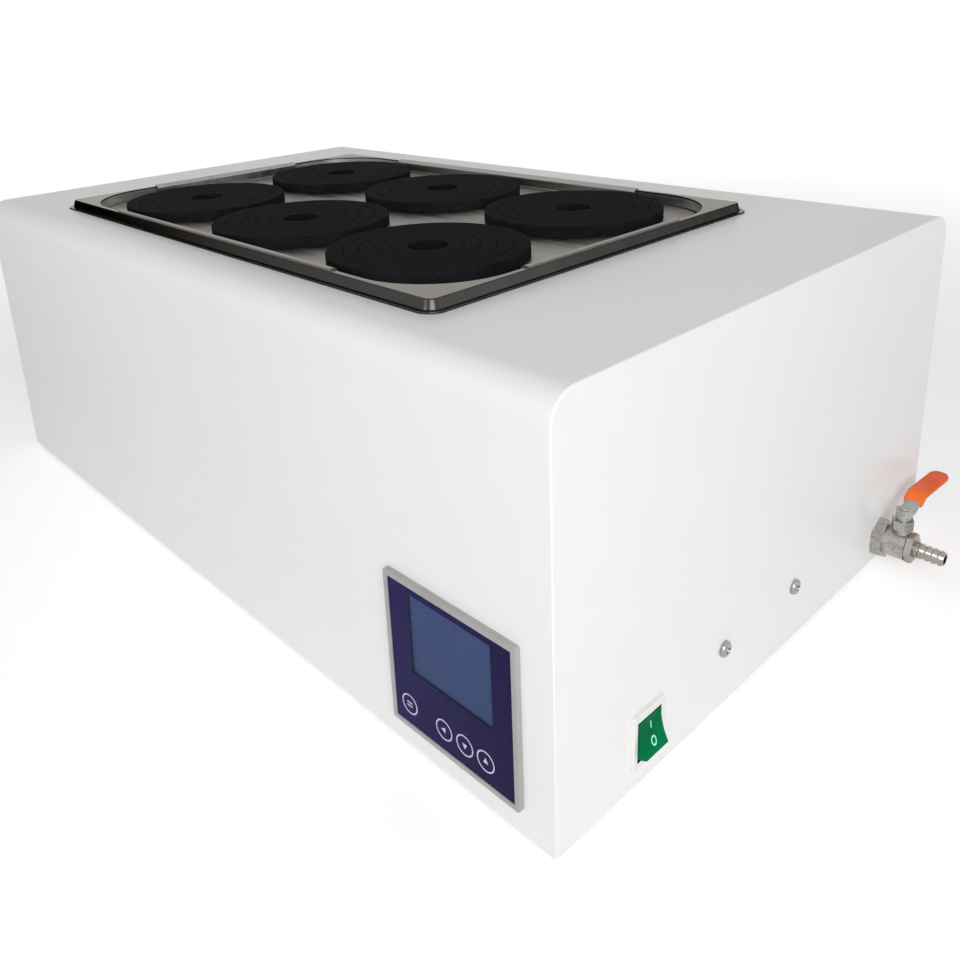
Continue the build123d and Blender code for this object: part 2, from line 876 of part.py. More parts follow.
def make_mains_inlet():
    """Three pin appliance inlet with a flange on the back."""
    x = right_x - inlet_from_right
    plane = Plane(origin=(x, back_y, inlet_height), x_dir=(1, 0, 0), z_dir=(0, -1, 0))
    outline = SlotOverall(inlet_flange_width, inlet_flange_height)
    inlet = extrude(plane * outline, -inlet_flange_depth)
    inlet += inlet_block(0, back_y - inlet_depth, back_y)
    cavity_low = (
        x - inlet_width / 2 + inlet_wall,
        back_y + inlet_flange_depth - inlet_cavity_depth,
        inlet_height - inlet_body_height / 2 + inlet_wall,
    )
    cavity_high = (
        x + inlet_width / 2 - inlet_wall,
        back_y + inlet_flange_depth + 1,
        inlet_height + inlet_body_height / 2 - inlet_wall,
    )
    inlet -= box_between(cavity_low, cavity_high)
    pin_places = [
        (-inlet_pin_pitch, -inlet_pin_offset),
        (inlet_pin_pitch, -inlet_pin_offset),
        (0, inlet_pin_offset),
    ]
    for shift_x, shift_z in pin_places:
        low = (x + shift_x - 1, cavity_low[1], inlet_height + shift_z - 2)
        high = (x + shift_x + 1, cavity_low[1] + inlet_pin_length, inlet_height + shift_z + 2)
        inlet += box_between(low, high)
    return inlet


# Drain

def drain_outlet():
    """Place of the drain hole in the tank's floor."""
    x = tank_wall_x - drain_outlet_inset
    y = tank_y + tank_width / 2 - drain_outlet_inset
    return x, y


def drain_y():
    """Place of the drain's axis across the right end."""
    return front_y + drain_from_front


def make_drain_pipe():
    """Pipe from the tank's floor to the wall, with a collar under the tank and a nut at the wall."""
    outlet_x, outlet_y = drain_outlet()
    top = tank_floor - tank_sheet
    wall = inner_right_x
    y = drain_y()
    path = FilletPolyline(
        (outlet_x, outlet_y, top),
        (outlet_x, outlet_y, drain_height),
        (wall - drain_straight, y, drain_height),
        (wall, y, drain_height),
        radius=drain_bend,
    )
    start = Plane(origin=(outlet_x, outlet_y, top), z_dir=(0, 0, -1))
    pipe = sweep(start * Circle(drain_pipe_radius), path)
    bore = sweep(start * Circle(drain_bore_radius), path)
    pipe += rod_z(drain_pipe_radius + 5, top - 2, top, outlet_x, outlet_y)
    pipe += hexagon_x(drain_nut_width, wall - drain_nut_length, wall, y, drain_height)
    spigot_end = right_x + drain_spigot_length
    pipe += rod_x(drain_pipe_radius - 1, wall, spigot_end, y, drain_height)
    pipe -= bore
    pipe -= rod_x(drain_bore_radius, wall - 1, spigot_end + 1, y, drain_height)
    return pipe


def make_valve_body():
    """Cast body with the hexagon at the wall, the ball's chamber, the stem boss and the gland nut."""
    y = drain_y()
    z = drain_height
    stem_x = right_x + stem_from_wall
    end_x = right_x + valve_length
    hex_end = right_x + valve_hex_length
    body = hexagon_x(valve_hex_width, right_x, hex_end, y, z)
    body &= rod_x(valve_hex_width * 0.56, right_x, hex_end, y, z)
    body += rod_x(valve_barrel_radius, hex_end - 1, end_x, y, z)
    boss_top = z + stem_boss_height
    body += rod_z(stem_boss_radius, z, boss_top, stem_x, y)
    body += hexagon_z(gland_nut_width, boss_top, boss_top + gland_nut_height, stem_x, y)
    body -= rod_x(drain_pipe_radius - 1 + fit_gap, right_x - 1, right_x + drain_spigot_length, y, z)
    body -= rod_x(ball_bore_radius, right_x, end_x + 1, y, z)
    body -= Pos(stem_x, y, z) * Sphere(ball_radius + ball_gap)
    body -= rod_z(stem_radius + ball_gap, z, boss_top + gland_nut_height + 1, stem_x, y)
    return body


def make_hose_barb():
    """Hexagon cap that closes the valve body, with its barbed tail and an open bore."""
    y = drain_y()
    cap_start = right_x + valve_length
    start = cap_start + cap_length
    end = start + barb_length
    pitch = (barb_length - barb_shoulder) / barb_count
    points = [(0, 0), (0, barb_crest_radius), (barb_shoulder, barb_crest_radius)]
    points.append((barb_shoulder, barb_root_radius))
    for i in range(barb_count):
        crest = barb_shoulder + (i + 0.25) * pitch
        foot = barb_shoulder + (i + 1) * pitch
        points.append((crest, barb_root_radius))
        points.append((crest, barb_crest_radius))
        points.append((foot, barb_root_radius))
    points.append((barb_length, 0))
    section = make_face(Polyline(*points, close=True).edges())
    barb = revolve(section, Axis.X)
    barb = Pos(start, y, drain_height) * barb
    cap = hexagon_x(cap_width, cap_start, start, y, drain_height)
    barb += cap & rod_x(cap_corner_radius, cap_start, start, y, drain_height)
    barb -= rod_x(barb_bore_radius, cap_start - 1, end + 1, y, drain_height)
    return barb


def lever_level():
    """Height of the lever's underside at the stem."""
    return drain_height + stem_boss_height + gland_nut_height + gland_gap


def make_valve_stem():
    """Ball with its bore, and the stem up to the lever's nut."""
    y = drain_y()
    stem_x = right_x + stem_from_wall
    top = lever_level() + lever_sheet + lever_nut_height + 1
    stem = Pos(stem_x, y, drain_height) * Sphere(ball_radius)
    stem += rod_z(stem_radius, drain_height, top, stem_x, y)
    stem -= rod_y(ball_bore_radius, y - ball_radius - 1, y + ball_radius + 1, stem_x, drain_height)
    collar_low = drain_height + stem_boss_height + gland_nut_height + fit_gap
    stem += rod_z(stem_radius + 2, collar_low, lever_level(), stem_x, y)
    low = lever_level() + lever_sheet
    stem += hexagon_z(lever_nut_width, low, low + lever_nut_height, stem_x, y)
    return stem


def lever_line():
    """Underside of the lever in side view, from behind the stem to its tip."""
    back = -lever_width / 2
    return FilletPolyline(
        (back, 0),
        (lever_flat, 0),
        (lever_flat + lever_ramp, lever_rise),
        (lever_reach, lever_rise - lever_droop),
        radius=lever_bend,
    )


def lever_plan(width, start, end):
    """Top view of the lever, round at the tip, along the local X."""
    outline = SlotOverall(end - start, width)
    return Pos((start + end) / 2, 0) * outline


def lever_plane():
    """Plane of the lever's side view, at its edge nearest the wall."""
    return Plane(origin=(right_x + stem_from_wall, drain_y(), lever_level()), x_dir=(0, 1, 0), z_dir=(1, 0, 0))


def lever_solid(line, thickness, width, start, end):
    """Bent strip with a rounded plan outline."""
    section = make_face(offset(line, amount=thickness, side=Side.LEFT).edges())
    strip = extrude(lever_plane() * section, width, both=True)
    top_view = Plane(origin=(right_x + stem_from_wall, drain_y(), 0), x_dir=(0, 1, 0), z_dir=(0, 0, 1))
    outline = extrude(top_view * lever_plan(width, start, end), 3 * lever_level())
    return strip & outline


def make_valve_lever():
    """Flat steel lever, bent up from the stem."""
    lever = lever_solid(lever_line(), lever_sheet, lever_width, -lever_width / 2, lever_reach)
    stem_x = right_x + stem_from_wall
    level = lever_level()
    lever -= rod_z(stem_radius, level - 1, level + lever_sheet + 1, stem_x, drain_y())
    return lever


def make_lever_sleeve():
    """Dipped sleeve over the lever's outer part."""
    line = FilletPolyline(
        (sleeve_start, lever_rise * (sleeve_start - lever_flat) / lever_ramp - sleeve_wall),
        (lever_flat + lever_ramp, lever_rise - sleeve_wall),
        (lever_reach + sleeve_wall, lever_rise - lever_droop - sleeve_wall),
        radius=lever_bend,
    )
    thickness = lever_sheet + 2 * sleeve_wall
    width = lever_width + 2 * sleeve_wall
    sleeve = lever_solid(line, thickness, width, sleeve_start - width, lever_reach + sleeve_wall)
    sleeve -= make_valve_lever()
    return sleeve


def make_all():
    """Every node by name."""
    nodes = {
        "case_wrap": make_case_wrap(),
        "left_end_panel": make_end_panel(-1),
        "right_end_panel": make_end_panel(1),
        "base_pan": make_base_pan(),
        "foot_pads": make_foot_pads(),
        "tank": make_tank(),
        "tank_surround": make_tank_surround(),
        "cover_plate": make_cover_plate(),
        "perforated_shelf": make_perforated_shelf(),
        "heating_element": make_heating_element(),
        "temperature_probe": make_temperature_probe(),
        "controller_bezel": make_controller_bezel(),
        "controller_front_sheet": make_front_sheet(),
        "controller_display": make_display(),
        "controller_housing": make_controller_housing(),
        "switch_body": make_switch_body(),
        "rocker": make_rocker(),
        "panel_screws": make_panel_screws(),
        "power_unit": [make_power_bracket(), make_power_board()],
        "mains_inlet": make_mains_inlet(),
        "drain_pipe": make_drain_pipe(),
        "valve_body": make_valve_body(),
        "hose_barb": make_hose_barb(),
        "valve_stem": make_valve_stem(),
        "valve_lever": make_valve_lever(),
        "lever_sleeve": make_lever_sleeve(),
    }
    for name, x, z in key_centres():
        nodes[name] = make_key(x, z)
    for row_name, column_name, x, y in lid_places():
        for number in range(ring_count):
            name = f"lid_{row_name}_{column_name}_ring_{number + 1}"
            nodes[name] = make_lid_ring(number, x, y)
    return nodes


def write_all():
    """Write each node to its own file."""
    os.makedirs("parts", exist_ok=True)
    for name, shape in make_all().items():
        if isinstance(shape, list):
            shape = Compound(children=shape)
        export_step(shape, f"parts/{name}.step")


write_all()
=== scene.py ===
import math

import bmesh
import bpy
from mathutils import Matrix, Vector


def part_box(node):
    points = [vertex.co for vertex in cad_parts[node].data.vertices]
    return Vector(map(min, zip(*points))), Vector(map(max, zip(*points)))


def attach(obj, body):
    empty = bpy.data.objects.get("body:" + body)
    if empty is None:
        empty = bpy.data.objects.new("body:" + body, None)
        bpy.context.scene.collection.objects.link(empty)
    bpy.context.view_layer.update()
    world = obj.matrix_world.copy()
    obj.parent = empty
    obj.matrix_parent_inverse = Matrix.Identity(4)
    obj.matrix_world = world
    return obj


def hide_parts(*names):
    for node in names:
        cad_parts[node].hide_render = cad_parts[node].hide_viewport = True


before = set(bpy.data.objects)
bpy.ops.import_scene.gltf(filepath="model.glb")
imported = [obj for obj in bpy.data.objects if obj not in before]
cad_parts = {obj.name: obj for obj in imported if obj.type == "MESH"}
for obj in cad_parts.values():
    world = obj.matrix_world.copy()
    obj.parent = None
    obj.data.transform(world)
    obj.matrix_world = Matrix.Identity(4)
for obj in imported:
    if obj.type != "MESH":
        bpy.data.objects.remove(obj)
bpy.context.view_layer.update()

bl_info = {
    "name": "Water Bath Looks",
    "version": (1, 0, 0),
    "blender": (4, 5, 0),
    "location": "3D View > Sidebar > Water Bath",
    "description": "Builds the visible pieces and finishes of a bench water bath on its CAD frame",
    "category": "Object",
}

MM = 0.001

# Sizes and names that the CAD source also has, with lengths in metres
RING_COUNT = 5
RING_WIDTH = 10.5 * MM
RING_RISE = 8.0 * MM
RING_LIP = 5.0 * MM
RING_LEDGE = 3.0 * MM
RING_GAP = 0.3 * MM
RING_SPIGOT_INSET = 6.9 * MM
ROWS = ("front", "back")
COLUMNS = ("left", "middle", "right")
ROCKER_HALF_HEIGHT = 10.3 * MM
ROCKER_FRONT = 8.7 * MM
ROCKER_HOLLOW = 1.5 * MM
ROCKER_PIVOT_DEPTH = 3.1 * MM
ROCKER_TILT = math.radians(14.0)
SCREW_SPACING = 81.0 * MM
SCREW_HEAD_RADIUS = 5.0 * MM
SCREW_HEAD_HEIGHT = 3.2 * MM
SCREW_SHANK_RADIUS = 2.5 * MM
SCREW_LENGTH = 12.0 * MM
CAP_LENGTH = 4.5 * MM
CAP_WIDTH = 19.5 * MM
CAP_CORNER_RADIUS = 10.9 * MM
BARB_SHOULDER = 3.0 * MM
BARB_ROOT = 4.7 * MM
BARB_CREST = 5.8 * MM
BARB_BORE = 3.3 * MM
BARB_COUNT = 4
LEVER_FLAT = 9.0 * MM
LEVER_RAMP = 13.0 * MM
LEVER_RISE = 7.5 * MM
LEVER_REACH = 65.5 * MM
LEVER_DROOP = 2.5 * MM
LEVER_SHEET = 2.0 * MM
LEVER_WIDTH = 10.5 * MM
SLEEVE_START = 14.5 * MM
SLEEVE_WALL = 1.5 * MM
INLET_PIN_PITCH = 7.0 * MM
KEYS = ("set_key", "left_key", "down_key", "up_key")

# Marks and small details that only the looks have
KEY_RING_RADIUS = 6.3 * MM
KEY_ARROW_SIZE = 2.4 * MM
KEY_BAR_HALF_LENGTH = 2.2 * MM
KEY_BAR_THICKNESS = 0.9 * MM
KEY_BAR_PLACES = (-1.5 * MM, 0.6 * MM)
MARK_DEPTH = 0.1 * MM
ROCKER_MARK_DEPTH = 0.15 * MM
ROCKER_BAR_HALF_WIDTH = 0.45 * MM
ROCKER_BAR_HEIGHTS = (3.0 * MM, 4.0 * MM, 5.0 * MM, 6.0 * MM, 7.0 * MM)
ROCKER_RING_RADII = (1.3 * MM, 2.1 * MM)
ROCKER_RING_STRETCH = 1.35
ROCKER_RING_DROP = 4.2 * MM
POCKET_GAP = 0.2 * MM
POCKET_HALF_HEIGHT = 13.2 * MM
CAP_CORNER = 0.5 * MM
BARB_OVERLAP = 0.5 * MM
BARB_END_INSET = 0.15 * MM
SLEEVE_SQUARENESS = 0.55
SLEEVE_LIP_LENGTH = 0.8 * MM
SLEEVE_LIP_ROUNDING = 0.5 * MM
INLET_PIN_HALF_WIDTH = 1.6 * MM
INLET_PIN_HALF_HEIGHT = 5.0 * MM
INLET_PIN_DEPTH = 12.0 * MM
INLET_PIN_FRONT = 1.2 * MM
BOARD_LEVEL = 33.5 * MM
PARTS_LEVEL = 35.8 * MM

# Distances from the middle where the floor begins and ends its fade to white, in metres
FLOOR_FADE_START = 0.6
FLOOR_FADE_END = 1.6


# Helpers for meshes

def link(piece):
    """Puts a new object in the scene."""
    bpy.context.scene.collection.objects.link(piece)
    return piece


def new_piece(name, points, faces):
    """New mesh object from points and faces, with its place in its mesh."""
    mesh = bpy.data.meshes.new(name)
    mesh.from_pydata([tuple(point) for point in points], [], faces)
    mesh.validate()
    return link(bpy.data.objects.new(name, mesh))


def make_plain(piece):
    """Turns a piece with live modifiers into a plain mesh."""
    graph = bpy.context.evaluated_depsgraph_get()
    mesh = bpy.data.meshes.new_from_object(piece.evaluated_get(graph))
    piece.modifiers.clear()
    piece.data = mesh
    return piece


def smooth(piece, angle):
    """Smooth shading, with edges sharper than the angle left sharp."""
    piece.data.shade_smooth()
    piece.data.set_sharp_from_angle(angle=math.radians(angle))
    return piece


def weigh_normals(piece):
    """Keeps flat faces flat beside small rounded edges."""
    modifier = piece.modifiers.new("Face Weights", "WEIGHTED_NORMAL")
    modifier.keep_sharp = True
    return make_plain(piece)


def face_outwards(mesh):
    """Turns the faces of closed shells outwards."""
    shell = bmesh.new()
    shell.from_mesh(mesh)
    bmesh.ops.remove_doubles(shell, verts=shell.verts, dist=1e-7)
    bmesh.ops.recalc_face_normals(shell, faces=shell.faces)
    shell.to_mesh(mesh)
    shell.free()


def node_copy(node, name):
    """Copy of a CAD node with its loose triangles joined and its flat faces whole."""
    shell = bmesh.new()
    shell.from_mesh(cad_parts[node].data)
    bmesh.ops.remove_doubles(shell, verts=shell.verts, dist=2e-6)
    bmesh.ops.dissolve_limit(
        shell, angle_limit=math.radians(0.3), verts=shell.verts, edges=shell.edges, delimit=set()
    )
    shell.verts.index_update()
    points = [vertex.co.copy() for vertex in shell.verts]
    faces = [[vertex.index for vertex in face.verts] for face in shell.faces]
    shell.free()
    return new_piece(name, points, faces)


def softened(node, name, edge, steps=2, angle=35.0):
    """Copy of a CAD node with its sharp edges rounded as folded, cast or moulded ones are."""
    piece = node_copy(node, name)
    if edge > 0:
        bevel = piece.modifiers.new("Soft Edges", "BEVEL")
        bevel.width = edge
        bevel.segments = steps
        bevel.limit_method = "ANGLE"
        bevel.angle_limit = math.radians(angle)
        bevel.miter_outer = "MITER_ARC"
        make_plain(piece)
    smooth(piece, angle)
    return weigh_normals(piece)


def hand_over(piece, body, slot, *nodes):
    """Says which body a piece rides on and which nodes it stands for. The slot is not used."""
    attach(piece, body)
    if nodes:
        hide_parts(*nodes)
    return piece


def dress(piece, material):
    """Gives a piece one material."""
    piece.data.materials.clear()
    piece.data.materials.append(material)
    return piece


def middle(node):
    """Middle of a node's box."""
    low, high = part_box(node)
    return (low + high) / 2


# Helpers for node trees

def socket(tree, name, kind, default=None, output=False):
    """Adds a named socket to a node group."""
    made = tree.interface.new_socket(name, in_out="OUTPUT" if output else "INPUT", socket_type=kind)
    if default is not None:
        made.default_value = default
    return made.identifier


def add(tree, kind, inputs=None, **settings):
    """Adds a node. Inputs are values or the outputs of other nodes, by socket name or number."""
    node = tree.nodes.new(kind)
    for name, value in settings.items():
        setattr(node, name, value)
    for name, value in (inputs or {}).items():
        if isinstance(value, bpy.types.NodeSocket):
            tree.links.new(value, node.inputs[name])
        else:
            node.inputs[name].default_value = value
    return node


def calculate(tree, operation, *values):
    """Math node on two or three values."""
    node = add(tree, "ShaderNodeMath", dict(enumerate(values)), operation=operation)
    return node.outputs[0]


def stretch(tree, value, low, high, new_low, new_high):
    """Maps a value from one range to another."""
    inputs = {"Value": value, "From Min": low, "From Max": high, "To Min": new_low, "To Max": new_high}
    return add(tree, "ShaderNodeMapRange", inputs).outputs["Result"]


def blend_colours(tree, share, first, second):
    """Mixes two colours by a share from 0 to 1."""
    node = tree.nodes.new("ShaderNodeMix")
    node.data_type = "RGBA"
    for place, value in ((0, share), (6, first), (7, second)):
        if isinstance(value, bpy.types.NodeSocket):
            tree.links.new(value, node.inputs[place])
        else:
            node.inputs[place].default_value = value
    return node.outputs[2]


def new_group(name, kind="ShaderNodeTree"):
    """Empty node group with its input and output nodes."""
    tree = bpy.data.node_groups.new(name, kind)
    return tree, tree.nodes.new("NodeGroupInput"), tree.nodes.new("NodeGroupOutput")


def fill_out(tree, ends, outputs):
    """Links values to the named outputs of a node group."""
    for name, value in outputs.items():
        tree.links.new(value, ends.inputs[name])


# Surface effects that several finishes share

def fine_grain_group():
    """Small soft bumps, as paint, castings and moulded plastic have."""
    tree, start, ends = new_group("Fine Grain")
    socket(tree, "Vector", "NodeSocketVector")
    socket(tree, "Scale", "NodeSocketFloat", 800.0)
    socket(tree, "Roughness", "NodeSocketFloat", 0.5)
    socket(tree, "Height", "NodeSocketFloat", output=True)
    socket(tree, "Mask", "NodeSocketFloat", output=True)
    vector = start.outputs["Vector"]
    inputs = {"Vector": vector, "Scale": start.outputs["Scale"], "Roughness": start.outputs["Roughness"]}
    noise = add(tree, "ShaderNodeTexNoise", inputs | {"Detail": 3.0}).outputs[0]
    mask = stretch(tree, noise, 0.35, 0.65, 0.0, 1.0)
    fill_out(tree, ends, {"Height": noise, "Mask": mask})
    return tree


def brushed_lines_group():
    """Long thin lines along one direction, as rolled or brushed sheet has."""
    tree, start, ends = new_group("Brushed Lines")
    socket(tree, "Vector", "NodeSocketVector")
    socket(tree, "Stretch", "NodeSocketVector", (12.0, 900.0, 900.0))
    socket(tree, "Height", "NodeSocketFloat", output=True)
    socket(tree, "Mask", "NodeSocketFloat", output=True)
    inputs = {0: start.outputs["Vector"], 1: start.outputs["Stretch"]}
    scaled = add(tree, "ShaderNodeVectorMath", inputs, operation="MULTIPLY").outputs[0]
    fine = add(tree, "ShaderNodeTexNoise", {"Vector": scaled, "Scale": 1.0, "Detail": 2.0}).outputs[0]
    wide = add(tree, "ShaderNodeTexNoise", {"Vector": scaled, "Scale": 0.13, "Detail": 1.0}).outputs[0]
    both = calculate(tree, "MULTIPLY_ADD", wide, 0.5, calculate(tree, "MULTIPLY", fine, 0.5))
    mask = stretch(tree, both, 0.38, 0.62, 0.0, 1.0)
    fill_out(tree, ends, {"Height": both, "Mask": mask})
    return tree


def handling_marks_group():
    """Large soft patches with fine breakup, as wiped and handled surfaces have."""
    tree, start, ends = new_group("Handling Marks")
    socket(tree, "Vector", "NodeSocketVector")
    socket(tree, "Scale", "NodeSocketFloat", 14.0)
    socket(tree, "Mask", "NodeSocketFloat", output=True)
    vector = start.outputs["Vector"]
    scale = start.outputs["Scale"]
    inputs = {"Vector": vector, "Scale": scale, "Detail": 4.0, "Distortion": 0.6}
    large = add(tree, "ShaderNodeTexNoise", inputs).outputs[0]
    finer = calculate(tree, "MULTIPLY", scale, 9.0)
    small = add(tree, "ShaderNodeTexNoise", {"Vector": vector, "Scale": finer, "Detail": 2.0}).outputs[0]
    both = calculate(tree, "MULTIPLY_ADD", small, 0.3, calculate(tree, "MULTIPLY", large, 0.7))
    fill_out(tree, ends, {"Mask": stretch(tree, both, 0.4, 0.62, 0.0, 1.0)})
    return tree


def dust_specks_group():
    """Small scattered specks."""
    tree, start, ends = new_group("Dust Specks")
    socket(tree, "Vector", "NodeSocketVector")
    socket(tree, "Scale", "NodeSocketFloat", 260.0)
    socket(tree, "Size", "NodeSocketFloat", 0.09)
    socket(tree, "Mask", "NodeSocketFloat", output=True)
    inputs = {"Vector": start.outputs["Vector"], "Scale": start.outputs["Scale"], "Randomness": 1.0}
    cells = add(tree, "ShaderNodeTexVoronoi", inputs)
    speck = calculate(tree, "LESS_THAN", cells.outputs["Distance"], start.outputs["Size"])
    chance = add(tree, "ShaderNodeSeparateColor", {0: cells.outputs["Color"]}).outputs[0]
    kept = calculate(tree, "MULTIPLY", speck, calculate(tree, "GREATER_THAN", chance, 0.72))
    fill_out(tree, ends, {"Mask": kept})
    return tree


EFFECTS = {
    "Fine Grain": fine_grain_group,
    "Brushed Lines": brushed_lines_group,
    "Handling Marks": handling_marks_group,
    "Dust Specks": dust_specks_group,
}


def effect(tree, name, vector, **values):
    """Places a shared surface effect in a material."""
    group = bpy.data.node_groups.get(name) or EFFECTS[name]()
    node = tree.nodes.new("ShaderNodeGroup")
    node.node_tree = group
    tree.links.new(vector, node.inputs["Vector"])
    for socket_name, value in values.items():
        node.inputs[socket_name].default_value = value
    return node.outputs


def start_material(name, **plain_values):
    """New material, with plain numbers set on its shader."""
    material = bpy.data.materials.new(name)
    material.use_nodes = True
    tree = material.node_tree
    shader = tree.nodes["Principled BSDF"]
    for socket_name, value in plain_values.items():
        shader.inputs[socket_name.replace("_", " ")].default_value = value
    vector = tree.nodes.new("ShaderNodeTexCoord").outputs["Object"]
    return material, tree, shader, vector


def bump(tree, shader, height, strength, distance):
    """Feeds a height to the shader's normal."""
    node = add(tree, "ShaderNodeBump", {"Height": height, "Strength": strength, "Distance": distance})
    tree.links.new(node.outputs[0], shader.inputs["Normal"])


def colour(values, factor=1.0):
    """Colour with alpha, made lighter or darker by a factor."""
    return tuple(min(1.0, value * factor) for value in values[:3]) + (1.0,)


# Finishes

def painted_case(name):
    """Satin powder coat, with faint orange peel and wiped patches."""
    paint = bpy.context.scene.bath_finishes.paint
    material, tree, shader, vector = start_material(name, Coat_Weight=0.15, Coat_Roughness=0.15)
    marks = effect(tree, "Handling Marks", vector, Scale=5.0)["Mask"]
    grain = effect(tree, "Fine Grain", vector, Scale=420.0)
    wiped = blend_colours(tree, marks, colour(paint), colour(paint, 0.985))
    tree.links.new(wiped, shader.inputs["Base Color"])
    tree.links.new(stretch(tree, marks, 0.0, 1.0, 0.36, 0.44), shader.inputs["Roughness"])
    bump(tree, shader, grain["Height"], strength=0.12, distance=0.00006)
    return material


def sheet_metal(name, shade, lines, rough_low, rough_high, contrast=0.25):
    """Brushed sheet, with lines along one direction and wiped patches."""
    material, tree, shader, vector = start_material(name, Metallic=1.0, Specular_Tint=colour(shade, 2.0))
    brushed = effect(tree, "Brushed Lines", vector, Stretch=lines)
    marks = effect(tree, "Handling Marks", vector, Scale=11.0)["Mask"]
    darker = colour(shade, 1.0 - contrast / 2)
    lighter = colour(shade, 1.0 + contrast / 2)
    lined = blend_colours(tree, brushed["Mask"], darker, lighter)
    patched = blend_colours(tree, calculate(tree, "MULTIPLY", marks, 0.25), lined, colour(shade, 0.75))
    tree.links.new(patched, shader.inputs["Base Color"])
    wear = calculate(tree, "MULTIPLY_ADD", brushed["Mask"], 0.5, calculate(tree, "MULTIPLY", marks, 0.5))
    tree.links.new(stretch(tree, wear, 0.0, 1.0, rough_low, rough_high), shader.inputs["Roughness"])
    bump(tree, shader, brushed["Height"], strength=0.2, distance=0.00005)
    return material


def plate_finish(name):
    """Cover plate: warm grey brushed steel."""
    plate = bpy.context.scene.bath_finishes.plate
    return sheet_metal(name, plate, lines=(14.0, 1100.0, 1100.0), rough_low=0.26, rough_high=0.42)


def surround_finish(name):
    """Surround: polished steel with painted reflections, dark on its slopes and as light as the cover plate
    where it lies flat.
    """
    finishes = bpy.context.scene.bath_finishes
    material = sheet_metal(
        name, finishes.surround, lines=(20.0, 500.0, 500.0), rough_low=0.12, rough_high=0.24, contrast=0.15
    )
    tree = material.node_tree
    shader = tree.nodes["Principled BSDF"]
    normal = tree.nodes.new("ShaderNodeNewGeometry").outputs["Normal"]
    up = add(tree, "ShaderNodeSeparateXYZ", {0: normal}).outputs["Z"]
    # Painted reflection: faces that look up get the plate's lighter colour and tint, and the slopes keep the
    # dark ones
    flat = stretch(tree, up, 0.9, 0.97, 0.0, 1.0)
    shaded_slope_colour = shader.inputs["Base Color"].links[0].from_socket
    lit_flat_colour = colour(finishes.plate, 0.8)
    tree.links.new(blend_colours(tree, flat, shaded_slope_colour, lit_flat_colour), shader.inputs["Base Color"])
    painted_reflection_tint = blend_colours(tree, flat, colour(finishes.surround, 2.0), colour(finishes.plate, 2.0))
    tree.links.new(painted_reflection_tint, shader.inputs["Specular Tint"])
    return material


def tank_finish(name):
    """Tank and shelf: fine brushed stainless steel."""
    shade = (0.52, 0.52, 0.51)
    return sheet_metal(name, shade, lines=(16.0, 16.0, 700.0), rough_low=0.28, rough_high=0.4)


def zinc_finish(name):
    """Base pan: zinc plated sheet with a faint spangle."""
    material, tree, shader, vector = start_material(name, Metallic=1.0)
    cells = add(tree, "ShaderNodeTexVoronoi", {"Vector": vector, "Scale": 90.0})
    spangle = add(tree, "ShaderNodeSeparateColor", {0: cells.outputs["Color"]}).outputs[0]
    marks = effect(tree, "Handling Marks", vector, Scale=9.0)["Mask"]
    zinc = blend_colours(tree, spangle, (0.42, 0.44, 0.46, 1.0), (0.58, 0.59, 0.6, 1.0))
    tree.links.new(zinc, shader.inputs["Base Color"])
    tree.links.new(stretch(tree, marks, 0.0, 1.0, 0.32, 0.5), shader.inputs["Roughness"])
    bump(tree, shader, spangle, strength=0.1, distance=0.00004)
    return material


def drawn_tube(name):
    """Element, probe and drain pipe: drawn steel tube with heat tint patches."""
    material, tree, shader, vector = start_material(name, Metallic=1.0)
    marks = effect(tree, "Handling Marks", vector, Scale=20.0)["Mask"]
    grain = effect(tree, "Fine Grain", vector, Scale=900.0)
    heated = blend_colours(tree, marks, (0.5, 0.48, 0.45, 1.0), (0.34, 0.27, 0.19, 1.0))
    tree.links.new(heated, shader.inputs["Base Color"])
    tree.links.new(stretch(tree, grain["Mask"], 0.0, 1.0, 0.25, 0.4), shader.inputs["Roughness"])
    bump(tree, shader, grain["Height"], strength=0.1, distance=0.00005)
    return material


def lid_radius_value(tree, vector):
    """Distance from the centre of the nearest lid, in metres."""
    front = middle("lid_front_left_ring_1")
    back = middle("lid_back_middle_ring_1")
    pitch_x = back.x - front.x
    pitch_y = back.y - front.y
    low = (front.x - pitch_x / 2, front.y - pitch_y / 2, -1.0)
    high = (front.x + pitch_x / 2, front.y + pitch_y / 2, 1.0)
    wrapped = add(tree, "ShaderNodeVectorMath", {0: vector, 1: high, 2: low}, operation="WRAP").outputs[0]
    inputs = {0: wrapped, 1: (front.x, front.y, 0.0)}
    centred = add(tree, "ShaderNodeVectorMath", inputs, operation="SUBTRACT").outputs[0]
    inputs = {0: centred, 1: (1.0, 1.0, 0.0)}
    flat = add(tree, "ShaderNodeVectorMath", inputs, operation="MULTIPLY").outputs[0]
    return add(tree, "ShaderNodeVectorMath", {0: flat}, operation="LENGTH").outputs["Value"]


